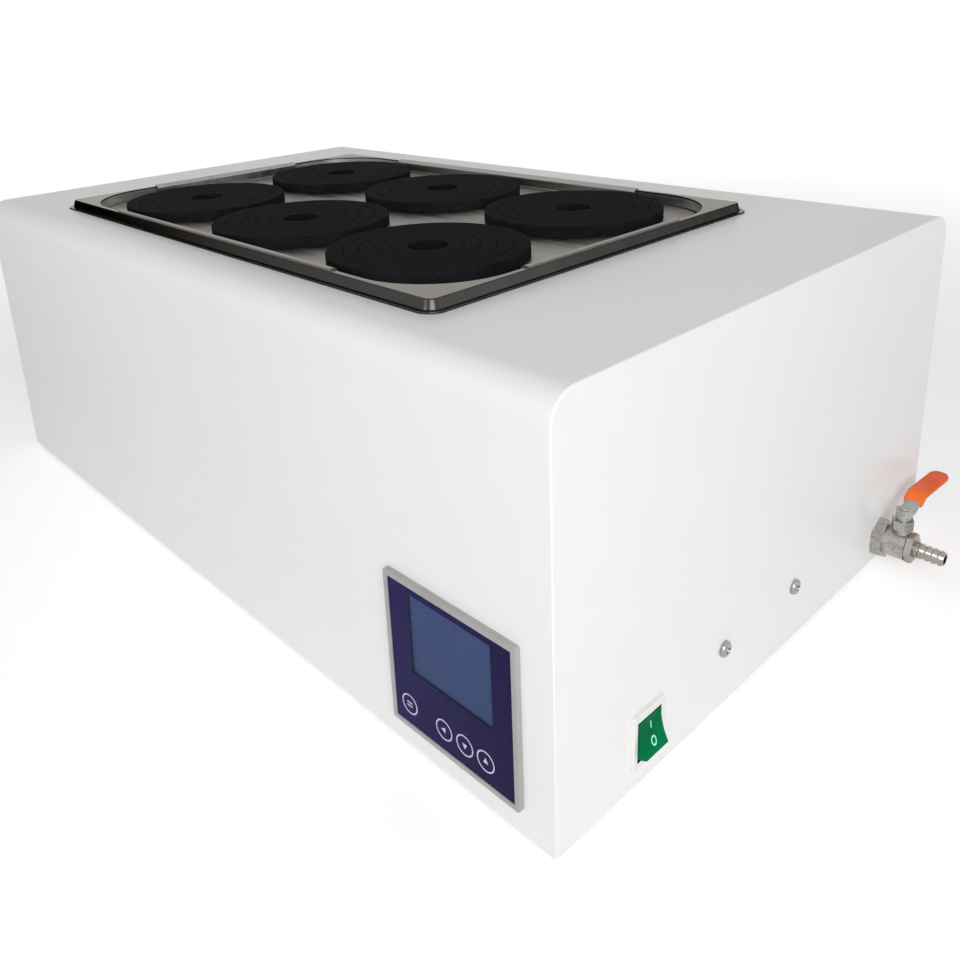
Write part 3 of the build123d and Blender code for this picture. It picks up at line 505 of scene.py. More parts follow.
def moulded_lid(name):
    """Lid rings: black moulded plastic with faint turned lines, scuffs and a little dust."""
    lid = bpy.context.scene.bath_finishes.lid
    material, tree, shader, vector = start_material(name, Specular_IOR_Level=0.003)
    radius = lid_radius_value(tree, vector)
    grain = effect(tree, "Fine Grain", vector, Scale=1400.0)
    marks = effect(tree, "Handling Marks", vector, Scale=26.0)["Mask"]
    specks = effect(tree, "Dust Specks", vector, Scale=170.0, Size=0.05)["Mask"]
    line_pitch = 0.9 * MM
    wave = calculate(tree, "SINE", calculate(tree, "MULTIPLY", radius, 2 * math.pi / line_pitch))
    turned = calculate(tree, "MULTIPLY_ADD", wave, 0.12, grain["Height"])
    scuffed = blend_colours(tree, marks, colour(lid), colour(lid, 1.7))
    dusty = blend_colours(tree, calculate(tree, "MULTIPLY", specks, 0.35), scuffed, (0.16, 0.16, 0.17, 1.0))
    tree.links.new(dusty, shader.inputs["Base Color"])
    tree.links.new(stretch(tree, marks, 0.0, 1.0, 0.55, 0.7), shader.inputs["Roughness"])
    bump(tree, shader, turned, strength=0.25, distance=0.00005)
    return material


def moulded_plastic(name, shade, rough_low, rough_high, scale=1500.0, relief=0.15, **plain_values):
    """Moulded plastic with a fine spark texture and handled patches."""
    material, tree, shader, vector = start_material(name, **plain_values)
    grain = effect(tree, "Fine Grain", vector, Scale=scale)
    marks = effect(tree, "Handling Marks", vector, Scale=40.0)["Mask"]
    handled = blend_colours(tree, marks, colour(shade), colour(shade, 0.93))
    tree.links.new(handled, shader.inputs["Base Color"])
    tree.links.new(stretch(tree, marks, 0.0, 1.0, rough_low, rough_high), shader.inputs["Roughness"])
    bump(tree, shader, grain["Height"], strength=relief, distance=0.00003)
    return material


def printed_mark(name, shade, rough_low, rough_high):
    """Ink of a printed mark, flatter than the plastic under it."""
    return moulded_plastic(name, shade, rough_low, rough_high, scale=2000.0, relief=0.05)


def navy_film(name):
    """Printed film: navy and a little darker to the right, with painted olive shade on the cut edges round
    the display.
    """
    film = bpy.context.scene.bath_finishes.film
    low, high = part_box("controller_front_sheet")
    material, tree, shader, vector = start_material(name, Specular_IOR_Level=0.035)
    parts = add(tree, "ShaderNodeSeparateXYZ", {0: vector}).outputs
    across = stretch(tree, parts["X"], low.x, high.x, 0.0, 1.0)
    grain = effect(tree, "Fine Grain", vector, Scale=2200.0)
    marks = effect(tree, "Handling Marks", vector, Scale=30.0)["Mask"]
    # Darker towards the right across the film
    navy_darker_to_right = blend_colours(tree, across, colour(film, 1.15), colour(film, 0.75))
    printed_depth = 0.08 * MM
    inside = calculate(tree, "GREATER_THAN", parts["Y"], low.y + printed_depth)
    # Painted shade: dark olive on the walls of the display's window, behind the film's face
    shaded_cut_edge = (0.03, 0.038, 0.028, 1.0)
    tree.links.new(blend_colours(tree, inside, navy_darker_to_right, shaded_cut_edge), shader.inputs["Base Color"])
    tree.links.new(stretch(tree, marks, 0.0, 1.0, 0.3, 0.42), shader.inputs["Roughness"])
    bump(tree, shader, grain["Height"], strength=0.1, distance=0.00002)
    return material


def display_finish(name):
    """Display that is off: blue grey with faint fine bumps and a few specks."""
    shade = bpy.context.scene.bath_finishes.display
    low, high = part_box("controller_display")
    material, tree, shader, vector = start_material(name, Specular_IOR_Level=0.05)
    parts = add(tree, "ShaderNodeSeparateXYZ", {0: vector}).outputs
    up = stretch(tree, parts["Z"], low.z, high.z, 0.0, 1.0)
    specks = effect(tree, "Dust Specks", vector, Scale=240.0, Size=0.06)["Mask"]
    marks = effect(tree, "Handling Marks", vector, Scale=22.0)["Mask"]
    glass = blend_colours(tree, up, colour(shade, 0.92), colour(shade, 1.06))
    patchy = blend_colours(tree, calculate(tree, "MULTIPLY", marks, 0.3), glass, colour(shade, 0.85))
    specked = blend_colours(tree, calculate(tree, "MULTIPLY", specks, 0.4), patchy, colour(shade, 1.6))
    tree.links.new(specked, shader.inputs["Base Color"])
    tree.links.new(stretch(tree, marks, 0.0, 1.0, 0.22, 0.32), shader.inputs["Roughness"])
    grid = effect(tree, "Fine Grain", vector, Scale=3000.0)["Height"]
    bump(tree, shader, grid, strength=0.05, distance=0.00001)
    return material


def lit_rocker(name):
    """Rocker: clear green plastic, deep at the top, with painted light towards the bottom and a faint
    painted glow.
    """
    green = bpy.context.scene.bath_finishes.rocker
    low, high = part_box("rocker")
    material, tree, shader, vector = start_material(
        name, Emission_Strength=0.03, Specular_IOR_Level=0.012
    )
    parts = add(tree, "ShaderNodeSeparateXYZ", {0: vector}).outputs
    glow_top = high.z - 4 * MM
    glow_bottom = low.z + 2 * MM
    glow_start = low.x + 9 * MM
    down = stretch(tree, parts["Z"], glow_top, glow_bottom, 0.0, 1.0)
    out = stretch(tree, parts["X"], glow_start, high.x, 0.0, 1.0)
    # Painted light: the green gets lighter towards the bottom and the outer face
    painted_glow_mask = calculate(tree, "MULTIPLY", down, out)
    marks = effect(tree, "Handling Marks", vector, Scale=60.0)["Mask"]
    body = blend_colours(tree, painted_glow_mask, colour(green, 0.38), colour(green, 0.55))
    mottled_and_painted_glow = blend_colours(tree, calculate(tree, "MULTIPLY", marks, 0.3), body, colour(green, 0.7))
    tree.links.new(mottled_and_painted_glow, shader.inputs["Base Color"])
    # Painted glow: a faint emission in the same mottled green
    tree.links.new(mottled_and_painted_glow, shader.inputs["Emission Color"])
    tree.links.new(stretch(tree, marks, 0.0, 1.0, 0.2, 0.3), shader.inputs["Roughness"])
    grain = effect(tree, "Fine Grain", vector, Scale=500.0)
    bump(tree, shader, grain["Height"], strength=0.04, distance=0.00004)
    return material


def cast_valve(name):
    """Valve: nickel plated casting with brown in its low places."""
    material, tree, shader, vector = start_material(name, Metallic=1.0)
    grain = effect(tree, "Fine Grain", vector, Scale=700.0, Roughness=0.7)
    marks = effect(tree, "Handling Marks", vector, Scale=70.0)["Mask"]
    plated = blend_colours(tree, grain["Mask"], (0.36, 0.34, 0.32, 1.0), (0.6, 0.59, 0.57, 1.0))
    stained = blend_colours(tree, calculate(tree, "MULTIPLY", marks, 0.55), plated, (0.2, 0.15, 0.1, 1.0))
    tree.links.new(stained, shader.inputs["Base Color"])
    tree.links.new(stretch(tree, grain["Mask"], 0.0, 1.0, 0.28, 0.46), shader.inputs["Roughness"])
    bump(tree, shader, grain["Height"], strength=0.5, distance=0.00016)
    return material


def bright_metal(name, shade, rough_low, rough_high, **plain_values):
    """Plated metal, bright and a little uneven."""
    material, tree, shader, vector = start_material(name, Metallic=1.0, **plain_values)
    grain = effect(tree, "Fine Grain", vector, Scale=600.0)
    marks = effect(tree, "Handling Marks", vector, Scale=90.0)["Mask"]
    uneven = blend_colours(tree, marks, colour(shade), colour(shade, 0.8))
    tree.links.new(uneven, shader.inputs["Base Color"])
    tree.links.new(stretch(tree, marks, 0.0, 1.0, rough_low, rough_high), shader.inputs["Roughness"])
    bump(tree, shader, grain["Height"], strength=0.12, distance=0.00005)
    return material


def dipped_vinyl(name):
    """Lever sleeve: soft orange vinyl, lighter near the stem, with a slight skin."""
    vinyl = bpy.context.scene.bath_finishes.sleeve
    stem_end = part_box("lever_sleeve")[0].y
    material, tree, shader, vector = start_material(name, Specular_IOR_Level=0.15)
    parts = add(tree, "ShaderNodeSeparateXYZ", {0: vector}).outputs
    light_length = 26 * MM
    along = stretch(tree, parts["Y"], stem_end, stem_end + light_length, 0.0, 1.0)
    grain = effect(tree, "Fine Grain", vector, Scale=320.0)
    marks = effect(tree, "Handling Marks", vector, Scale=45.0)["Mask"]
    light = colour((vinyl[0], vinyl[1] * 1.9, vinyl[2] * 2.2))
    body = blend_colours(tree, along, light, colour(vinyl))
    worn = blend_colours(tree, calculate(tree, "MULTIPLY", marks, 0.35), body, colour(vinyl, 0.82))
    tree.links.new(worn, shader.inputs["Base Color"])
    tree.links.new(stretch(tree, marks, 0.0, 1.0, 0.34, 0.48), shader.inputs["Roughness"])
    bump(tree, shader, grain["Height"], strength=0.25, distance=0.00025)
    return material


def board_finish(name):
    """Power unit: zinc bracket below, with green board and dark parts above it."""
    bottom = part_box("power_unit")[0].z
    material, tree, shader, vector = start_material(name, Roughness=0.5)
    parts = add(tree, "ShaderNodeSeparateXYZ", {0: vector}).outputs
    board = calculate(tree, "GREATER_THAN", parts["Z"], bottom + BOARD_LEVEL)
    above = calculate(tree, "GREATER_THAN", parts["Z"], bottom + PARTS_LEVEL)
    marks = effect(tree, "Handling Marks", vector, Scale=50.0)["Mask"]
    zinc = blend_colours(tree, marks, (0.42, 0.43, 0.44, 1.0), (0.56, 0.57, 0.58, 1.0))
    green = blend_colours(tree, marks, (0.02, 0.12, 0.05, 1.0), (0.03, 0.17, 0.07, 1.0))
    dark = blend_colours(tree, marks, (0.02, 0.02, 0.022, 1.0), (0.035, 0.035, 0.04, 1.0))
    lower = blend_colours(tree, board, zinc, green)
    tree.links.new(blend_colours(tree, above, lower, dark), shader.inputs["Base Color"])
    tree.links.new(stretch(tree, board, 0.0, 1.0, 0.9, 0.0), shader.inputs["Metallic"])
    grain = effect(tree, "Fine Grain", vector, Scale=900.0)
    bump(tree, shader, grain["Height"], strength=0.1, distance=0.00005)
    return material


FINISHES = {
    "case_paint": painted_case,
    "zinc_sheet": zinc_finish,
    "foot_rubber": lambda name: moulded_plastic(
        name, (0.02, 0.02, 0.021), 0.6, 0.75, scale=900.0, relief=0.3
    ),
    "tank_steel": tank_finish,
    "surround_steel": surround_finish,
    "plate_steel": plate_finish,
    "lid_black": moulded_lid,
    "element_steel": drawn_tube,
    "bezel_plastic": lambda name: moulded_plastic(name, (0.4, 0.4, 0.39), 0.38, 0.5),
    "navy_sheet": navy_film,
    "display_glass": display_finish,
    "key_plastic": navy_film,
    "key_print": lambda name: printed_mark(name, (0.62, 0.6, 0.82), 0.4, 0.5),
    "switch_plastic": lambda name: moulded_plastic(name, (0.88, 0.88, 0.87), 0.2, 0.3, Coat_Weight=0.3),
    # Painted shade: near black for the faces inside the switch's pocket
    "switch_pocket_shade": lambda name: moulded_plastic(name, (0.006, 0.006, 0.007), 0.4, 0.5),
    "rocker_plastic": lit_rocker,
    "rocker_print": lambda name: printed_mark(name, (0.35, 0.9, 0.75), 0.3, 0.4),
    "screw_chrome": lambda name: bright_metal(name, (0.42, 0.42, 0.41), 0.1, 0.2),
    "barb_plated": lambda name: bright_metal(name, (0.4, 0.37, 0.33), 0.14, 0.26),
    "board_parts": board_finish,
    "inlet_plastic": lambda name: moulded_plastic(
        name, (0.018, 0.018, 0.02), 0.35, 0.5, scale=1100.0, relief=0.25
    ),
    "inlet_pins": lambda name: bright_metal(name, (0.62, 0.6, 0.56), 0.2, 0.3),
    "valve_cast": cast_valve,
    "lever_steel": lambda name: bright_metal(name, (0.5, 0.5, 0.49), 0.16, 0.3),
    "sleeve_vinyl": dipped_vinyl,
}


def finish_of(slot):
    """The finish of a material slot, made once. Plain materials of the frame have the slots' own names."""
    name = f"finish_{slot}"
    return bpy.data.materials.get(name) or FINISHES[slot](name)


def keep_node(node, slot):
    """A CAD node whose shape is right stays, with its finish."""
    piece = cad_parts[node]
    dress(piece, finish_of(slot))
    return piece


# Rings swept round an axis

def swept_ring_tree():
    """Geometry nodes: rounds the corners of a section and sweeps it round a circle."""
    tree, start, ends = new_group("Swept Ring", "GeometryNodeTree")
    names = {"Section": socket(tree, "Section", "NodeSocketGeometry")}
    for name, kind, default in (
        ("Rail Radius", "NodeSocketFloat", 0.05),
        ("Edge Radius", "NodeSocketFloat", 0.0004),
        ("Edge Steps", "NodeSocketInt", 3),
        ("Round Steps", "NodeSocketInt", 128),
        ("Centre", "NodeSocketVector", None),
        ("Turn", "NodeSocketVector", None),
        ("Material", "NodeSocketMaterial", None),
    ):
        names[name] = socket(tree, name, kind, default)
    socket(tree, "Ring", "NodeSocketGeometry", output=True)
    given = start.outputs
    line = add(tree, "GeometryNodeMeshToCurve", {"Mesh": given["Section"]}).outputs[0]
    rounded = add(
        tree,
        "GeometryNodeFilletCurve",
        {"Curve": line, "Count": given["Edge Steps"], "Radius": given["Edge Radius"], "Limit Radius": True},
        mode="POLY",
    ).outputs[0]
    rail = add(
        tree,
        "GeometryNodeCurvePrimitiveCircle",
        {"Resolution": given["Round Steps"], "Radius": given["Rail Radius"]},
    ).outputs[0]
    swept = add(tree, "GeometryNodeCurveToMesh", {"Curve": rail, "Profile Curve": rounded}).outputs[0]
    inputs = {"Geometry": swept, "Translation": given["Centre"], "Rotation": given["Turn"]}
    placed = add(tree, "GeometryNodeTransform", inputs).outputs[0]
    real = add(tree, "GeometryNodeRealizeInstances", {"Geometry": placed}).outputs[0]
    done = add(tree, "GeometryNodeSetMaterial", {"Geometry": real, "Material": given["Material"]}).outputs[0]
    tree.links.new(done, ends.inputs[0])
    return tree, names


TREES = {}


def use_tree(piece, maker, values):
    """Runs a node tree on a piece with named values, and keeps the result as a plain mesh."""
    label = maker.__name__
    if label not in TREES:
        TREES[label] = maker()
    tree, names = TREES[label]
    modifier = piece.modifiers.new(tree.name, "NODES")
    modifier.node_group = tree
    for name, value in values.items():
        modifier[names[name]] = value
    return make_plain(piece)


def swept_ring(name, section, centre, material, edge, steps=128, edge_steps=3, turn=(0.0, 0.0, 0.0)):
    """Ring from a section of radius and height points, round a centre."""
    area = sum(a[0] * b[1] - b[0] * a[1] for a, b in zip(section, section[1:] + section[:1]))
    ordered = section if area > 0 else section[::-1]
    rail = max(radius for radius, height in ordered)
    mesh = bpy.data.meshes.new(name)
    count = len(ordered)
    edges = [(i, (i + 1) % count) for i in range(count)]
    mesh.from_pydata([(radius - rail, -height, 0.0) for radius, height in ordered], edges, [])
    piece = link(bpy.data.objects.new(name, mesh))
    values = {
        "Rail Radius": rail,
        "Edge Radius": edge,
        "Edge Steps": edge_steps,
        "Round Steps": steps,
        "Centre": centre,
        "Turn": turn,
        "Material": material,
    }
    use_tree(piece, swept_ring_tree, values)
    smooth(piece, 40.0)
    return weigh_normals(piece)


def repeated_tree():
    """Geometry nodes: places one piece at even steps along a line."""
    tree, start, ends = new_group("Repeated Along Line", "GeometryNodeTree")
    names = {"Piece": socket(tree, "Piece", "NodeSocketGeometry")}
    for name, kind, default in (
        ("Count", "NodeSocketInt", 2),
        ("First Place", "NodeSocketVector", None),
        ("Step", "NodeSocketVector", None),
        ("Material", "NodeSocketMaterial", None),
    ):
        names[name] = socket(tree, name, kind, default)
    socket(tree, "Pieces", "NodeSocketGeometry", output=True)
    given = start.outputs
    inputs = {"Count": given["Count"], "Start Location": given["First Place"], "Offset": given["Step"]}
    line = add(tree, "GeometryNodeMeshLine", inputs, mode="OFFSET").outputs[0]
    inputs = {"Points": line, "Instance": given["Piece"]}
    placed = add(tree, "GeometryNodeInstanceOnPoints", inputs).outputs[0]
    real = add(tree, "GeometryNodeRealizeInstances", {"Geometry": placed}).outputs[0]
    done = add(tree, "GeometryNodeSetMaterial", {"Geometry": real, "Material": given["Material"]}).outputs[0]
    tree.links.new(done, ends.inputs[0])
    return tree, names


# Case

def build_case():
    """Painted wrap and end panels, base pan and feet."""
    sizes = bpy.context.scene.bath_sizes
    wrap = softened("case_wrap", "case_wrap_sheet", edge=0.0)
    dress(wrap, finish_of("case_paint"))
    hand_over(wrap, "case", "case_paint", "case_wrap")
    for side in ("left", "right"):
        node = f"{side}_end_panel"
        panel = softened(node, f"{side}_end_sheet", edge=0.0)
        dress(panel, finish_of("case_paint"))
        hand_over(panel, "case", "case_paint", node)
    pan = softened("base_pan", "base_pan_sheet", sizes.sheet_edge)
    dress(pan, finish_of("zinc_sheet"))
    hand_over(pan, "case", "zinc_sheet", "base_pan")
    keep_node("foot_pads", "foot_rubber")


def build_rim_and_plate():
    """Surround and cover plate, with rounded sheet edges."""
    sizes = bpy.context.scene.bath_sizes
    surround = softened("tank_surround", "tank_surround_sheet", sizes.sheet_edge)
    dress(surround, finish_of("surround_steel"))
    hand_over(surround, "case", "surround_steel", "tank_surround")
    plate = softened("cover_plate", "cover_plate_sheet", sizes.sheet_edge)
    dress(plate, finish_of("plate_steel"))
    hand_over(plate, "cover_plate", "plate_steel", "cover_plate")


def build_inside():
    """Tank, shelf, element, probe, drain pipe, power unit and controller housing."""
    kept = {
        "tank": "tank_steel",
        "perforated_shelf": "tank_steel",
        "heating_element": "element_steel",
        "temperature_probe": "element_steel",
        "drain_pipe": "element_steel",
        "power_unit": "board_parts",
        "controller_housing": "inlet_plastic",
    }
    for node, slot in kept.items():
        body = "perforated_shelf" if node == "perforated_shelf" else "case"
        piece = softened(node, f"{node}_made", edge=0.0)
        dress(piece, finish_of(slot))
        # The record gives the housing the bezel's slot
        record_slot = "bezel_plastic" if node == "controller_housing" else slot
        hand_over(piece, body, record_slot, node)


# Lids

def lid_section(number, outer, low, top):
    """Section of a lid ring. Number 0 is the largest."""
    seat = top - RING_LIP
    gap = RING_GAP if number > 0 else 0.0
    inner = outer + gap - RING_WIDTH
    points = [(outer, top), (inner, top)]
    if number < RING_COUNT - 1:
        points += [(inner, seat), (inner - RING_LEDGE, seat), (inner - RING_LEDGE, low)]
    else:
        points += [(inner, low)]
    if number == 0:
        plate_top = top - RING_RISE
        spigot = outer - RING_SPIGOT_INSET
        points += [(spigot, low), (spigot, plate_top), (outer, plate_top)]
    else:
        points += [(outer - RING_LEDGE, low), (outer - RING_LEDGE, seat), (outer, seat)]
    return points


def build_lids():
    """Thirty lid rings, five to each place."""
    sizes = bpy.context.scene.bath_sizes
    for row in ROWS:
        for column in COLUMNS:
            for number in range(RING_COUNT):
                node = f"lid_{row}_{column}_ring_{number + 1}"
                low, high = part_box(node)
                centre = ((low.x + high.x) / 2, (low.y + high.y) / 2, 0.0)
                outer = (high.x - low.x) / 2
                section = lid_section(number, outer, low.z, high.z)
                finish = finish_of("lid_black")
                ring = swept_ring(
                    f"{node}_turned", section, centre, finish, sizes.ring_edge, sizes.ring_steps
                )
                hand_over(ring, node, "lid_black", node)


# Controller

def build_controller():
    """Bezel, navy film and display."""
    bezel = softened("controller_bezel", "controller_bezel_moulding", edge=0.35 * MM)
    dress(bezel, finish_of("bezel_plastic"))
    hand_over(bezel, "case", "bezel_plastic", "controller_bezel")
    film = softened("controller_front_sheet", "controller_film", edge=0.0)
    dress(film, finish_of("navy_sheet"))
    hand_over(film, "case", "navy_sheet", "controller_front_sheet")
    display = softened("controller_display", "display_pane", edge=0.1 * MM)
    dress(display, finish_of("display_glass"))
    hand_over(display, "case", "display_glass", "controller_display")


def arrow_outline(direction, size):
    """Triangle that points in a direction on the front face."""
    points = []
    base_share = 0.85
    for turn in (0, 1, 2):
        angle = direction + turn * 2 * math.pi / 3
        reach = size if turn == 0 else size * base_share
        points.append((math.cos(angle) * reach, math.sin(angle) * reach))
    return points


def front_slab(name, outlines, face_y, rise):
    """Flat raised marks on the front: outlines of across and up, each a little proud of the face."""
    points = []
    faces = []
    for outline in outlines:
        first = len(points)
        count = len(outline)
        points += [(x, face_y - rise, z) for x, z in outline]
        points += [(x, face_y + MARK_DEPTH, z) for x, z in outline]
        faces.append(list(range(first, first + count)))
        faces.append(list(range(first + 2 * count - 1, first + count - 1, -1)))
        for i in range(count):
            j = (i + 1) % count
            faces.append([first + i, first + count + i, first + count + j, first + j])
    piece = new_piece(name, points, faces)
    face_outwards(piece.data)
    return piece


def build_keys():
    """Four keys with a printed ring and a mark each."""
    sizes = bpy.context.scene.bath_sizes
    directions = {"left_key": math.pi, "down_key": -math.pi / 2, "up_key": math.pi / 2}
    for name in KEYS:
        key = softened(name, f"{name}_dome", edge=0.15 * MM)
        dress(key, finish_of("key_plastic"))
        hand_over(key, name, "key_plastic", name)
        centre = middle(name)
        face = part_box(name)[0].y
        outer = KEY_RING_RADIUS
        inner = outer - sizes.key_line
        rise = sizes.print_rise
        section = [(outer, -MARK_DEPTH), (outer, rise), (inner, rise), (inner, -MARK_DEPTH)]
        place = (centre.x, face, centre.z)
        forwards = (math.pi / 2, 0.0, 0.0)
        ring = swept_ring(
            f"{name}_ring",
            section,
            place,
            finish_of("key_print"),
            edge=0.01 * MM,
            steps=64,
            edge_steps=1,
            turn=forwards,
        )
        hand_over(ring, name, "key_plastic")
        if name in directions:
            outlines = [arrow_outline(directions[name], KEY_ARROW_SIZE)]
        else:
            half = KEY_BAR_HALF_LENGTH
            bars = [(low, low + KEY_BAR_THICKNESS) for low in KEY_BAR_PLACES]
            outlines = [[(-half, low), (half, low), (half, high), (-half, high)] for low, high in bars]
        placed = [[(centre.x + x, centre.z + z) for x, z in outline] for outline in outlines]
        mark = front_slab(f"{name}_mark", placed, face, rise)
        dress(mark, finish_of("key_print"))
        hand_over(mark, name, "key_plastic")


# Switch

def rocker_point(across, up, proud):
    """Point on the rocker's hollow face, in the shared frame."""
    radius = (ROCKER_HALF_HEIGHT**2 + ROCKER_HOLLOW**2) / (2 * ROCKER_HOLLOW)
    depth = ROCKER_FRONT - ROCKER_HOLLOW + radius - math.sqrt(radius**2 - up**2) + proud
    turned = Matrix.Rotation(-ROCKER_TILT, 3, "Y") @ Vector((depth, 0.0, up))
    switch = middle("switch_body")
    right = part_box("right_end_panel")[1].x
    return (right - ROCKER_PIVOT_DEPTH + turned.x, switch.y + across, switch.z + turned.z)


def rocker_mark(name, rows, closed=False):
    """Raised print on the rocker's face. Rows hold across and up points, and may close into a ring."""
    sizes = bpy.context.scene.bath_sizes
    points = []
    faces = []
    width = len(rows[0])
    for layer in (sizes.print_rise, -ROCKER_MARK_DEPTH):
        for row in rows:
            points += [rocker_point(across, up, layer) for across, up in row]
    layer_size = len(rows) * width
    strips = len(rows) if closed else len(rows) - 1
    for r in range(strips):
        for c in range(width - 1):
            a = r * width + c
            b = ((r + 1) % len(rows)) * width + c
            faces.append([a, a + 1, b + 1, b])
            faces.append([layer_size + a, layer_size + b, layer_size + b + 1, layer_size + a + 1])
    for side in (0, width - 1):
        for r in range(strips):
            a = r * width + side
            b = ((r + 1) % len(rows)) * width + side
            faces.append([a, b, layer_size + b, layer_size + a])
    if not closed:
        for r in (0, len(rows) - 1):
            for c in range(width - 1):
                a = r * width + c
                faces.append([a, layer_size + a, layer_size + a + 1, a + 1])
    piece = new_piece(name, points, faces)
    face_outwards(piece.data)
    dress(piece, finish_of("rocker_print"))
    smooth(piece, 40.0)
    return hand_over(piece, "rocker", "rocker_plastic")


def build_switch():
    """Switch body with its pocket painted near black as shade, the rocker and its two marks."""
    body = softened("switch_body", "switch_moulding", edge=0.2 * MM)
    dress(body, finish_of("switch_plastic"))
    # Painted shade: the faces inside the pocket get a near black finish, so the gap round the rocker reads
    # dark
    body.data.materials.append(finish_of("switch_pocket_shade"))
    switch = middle("switch_body")
    low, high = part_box("rocker")
    pocket_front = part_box("switch_body")[1].x - 0.1 * MM
    half_width = (high.y - low.y) / 2 + POCKET_GAP
    for face in body.data.polygons:
        centre = face.center
        within = abs(centre.y - switch.y) < half_width and abs(centre.z - switch.z) < POCKET_HALF_HEIGHT
        if within and centre.x < pocket_front:
            face.material_index = 1
    hand_over(body, "case", "switch_plastic", "switch_body")
    rocker = softened("rocker", "rocker_moulding", edge=0.35 * MM, steps=3)
    dress(rocker, finish_of("rocker_plastic"))
    hand_over(rocker, "rocker", "rocker_plastic", "rocker")
    half = ROCKER_BAR_HALF_WIDTH
    rocker_mark("rocker_bar", [[(-half, up), (half, up)] for up in ROCKER_BAR_HEIGHTS])
    steps = 48
    rows = []
    for i in range(steps):
        angle = 2 * math.pi * i / steps
        row = []
        for radius in ROCKER_RING_RADII:
            up = math.sin(angle) * radius * ROCKER_RING_STRETCH - ROCKER_RING_DROP
            row.append((math.cos(angle) * radius, up))
        rows.append(row)
    rocker_mark("rocker_ring", rows, closed=True)


# Screws

def screw_blank():
    """One pan head screw along X at the origin, with a cross recess cut into its head."""
    sizes = bpy.context.scene.bath_sizes
    tip_inset = 0.3 * MM
    tip_length = 0.4 * MM
    rim = 0.15 * MM
    crown_start = 0.7 * MM
    crown_gap = 0.3 * MM
    crown_share = 0.38
    crown_steps = 9
    top_drop = 0.12 * MM
    top_share = 0.4
    profile = [(-SCREW_LENGTH, 0.0), (-SCREW_LENGTH, SCREW_SHANK_RADIUS - tip_inset)]
    profile.append((-SCREW_LENGTH + tip_length, SCREW_SHANK_RADIUS))
    profile.append((0.0, SCREW_SHANK_RADIUS))
    profile.append((0.0, SCREW_HEAD_RADIUS - rim))
    profile.append((rim, SCREW_HEAD_RADIUS))
    crown_rise = SCREW_HEAD_HEIGHT - crown_start - crown_gap
    for i in range(crown_steps):
        angle = math.pi / 2 * i / crown_steps
        radius = SCREW_HEAD_RADIUS * (1 - crown_share + crown_share * math.cos(angle))
        profile.append((crown_start + crown_rise * math.sin(angle), radius))
    profile.append((SCREW_HEAD_HEIGHT - top_drop, top_share * SCREW_HEAD_RADIUS))
    profile.append((SCREW_HEAD_HEIGHT, 0.0))
    steps = 48
    points = []
    faces = []
    for x, radius in profile:
        for i in range(steps):
            angle = 2 * math.pi * i / steps
            points.append((x, radius * math.cos(angle), radius * math.sin(angle)))
    for ring in range(len(profile) - 1):
        for i in range(steps):
            j = (i + 1) % steps
            near = ring * steps
            far = near + steps
            faces.append([near + i, near + j, far + j, far + i])
    screw = new_piece("screw_blank", points, faces)
    face_outwards(screw.data)
    half = sizes.recess_width / 2
    reach = 0.52 * SCREW_HEAD_RADIUS
    floor = SCREW_HEAD_HEIGHT - sizes.recess_depth
    mouth = SCREW_HEAD_HEIGHT + 1.0 * MM
    floor_share = 0.45
    mouth_share = 1.15
    least_width = 0.7
    for turn in (0, 1):
        corners = []
        for x, share in ((floor, floor_share), (mouth, mouth_share)):
            for a, b in ((-1, -1), (1, -1), (1, 1), (-1, 1)):
                pair = (a * reach * share, b * half * (least_width + (1 - least_width) * share))
                y, z = pair if turn == 0 else pair[::-1]
                corners.append((x, y, z))
        cutter = new_piece(
            "recess_cutter",
            corners,
            [[0, 1, 2, 3], [4, 5, 6, 7], [0, 1, 5, 4], [1, 2, 6, 5], [2, 3, 7, 6], [3, 0, 4, 7]],
        )
        face_outwards(cutter.data)
        cut = screw.modifiers.new("Recess", "BOOLEAN")
        cut.operation = "DIFFERENCE"
        cut.solver = "EXACT"
        cut.object = cutter
        make_plain(screw)
        bpy.data.objects.remove(cutter)
    return screw


def build_screws():
    """Two pan head screws on the right end, placed along a line."""
    screws = screw_blank()
    screws.name = "panel_screws_turned"
    low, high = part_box("panel_screws")
    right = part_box("right_end_panel")[1].x
    cross_turn = Matrix.Rotation(math.radians(28.0), 4, "X")
    screws.data.transform(cross_turn)
    values = {
        "Count": 2,
        "First Place": (right, low.y + SCREW_HEAD_RADIUS, (low.z + high.z) / 2),
        "Step": (0.0, SCREW_SPACING, 0.0),
        "Material": finish_of("screw_chrome"),
    }
    use_tree(screws, repeated_tree, values)
    smooth(screws, 32.0)
    hand_over(screws, "case", "screw_chrome", "panel_screws")


# Drain valve

def build_valve():
    """Cast body, barb, stem, lever and sleeve."""
    sizes = bpy.context.scene.bath_sizes
    body = softened("valve_body", "valve_casting", sizes.cast_edge, steps=3)
    dress(body, finish_of("valve_cast"))
    hand_over(body, "case", "valve_cast", "valve_body")
    stem = softened("valve_stem", "valve_stem_turned", edge=0.3 * MM)
    dress(stem, finish_of("lever_steel"))
    hand_over(stem, "valve_handle", "screw_chrome", "valve_stem")
    lever = softened("valve_lever", "valve_lever_pressing", edge=0.4 * MM, steps=3)
    dress(lever, finish_of("lever_steel"))
    hand_over(lever, "valve_handle", "lever_steel", "valve_lever")
    build_barb()
    build_sleeve()


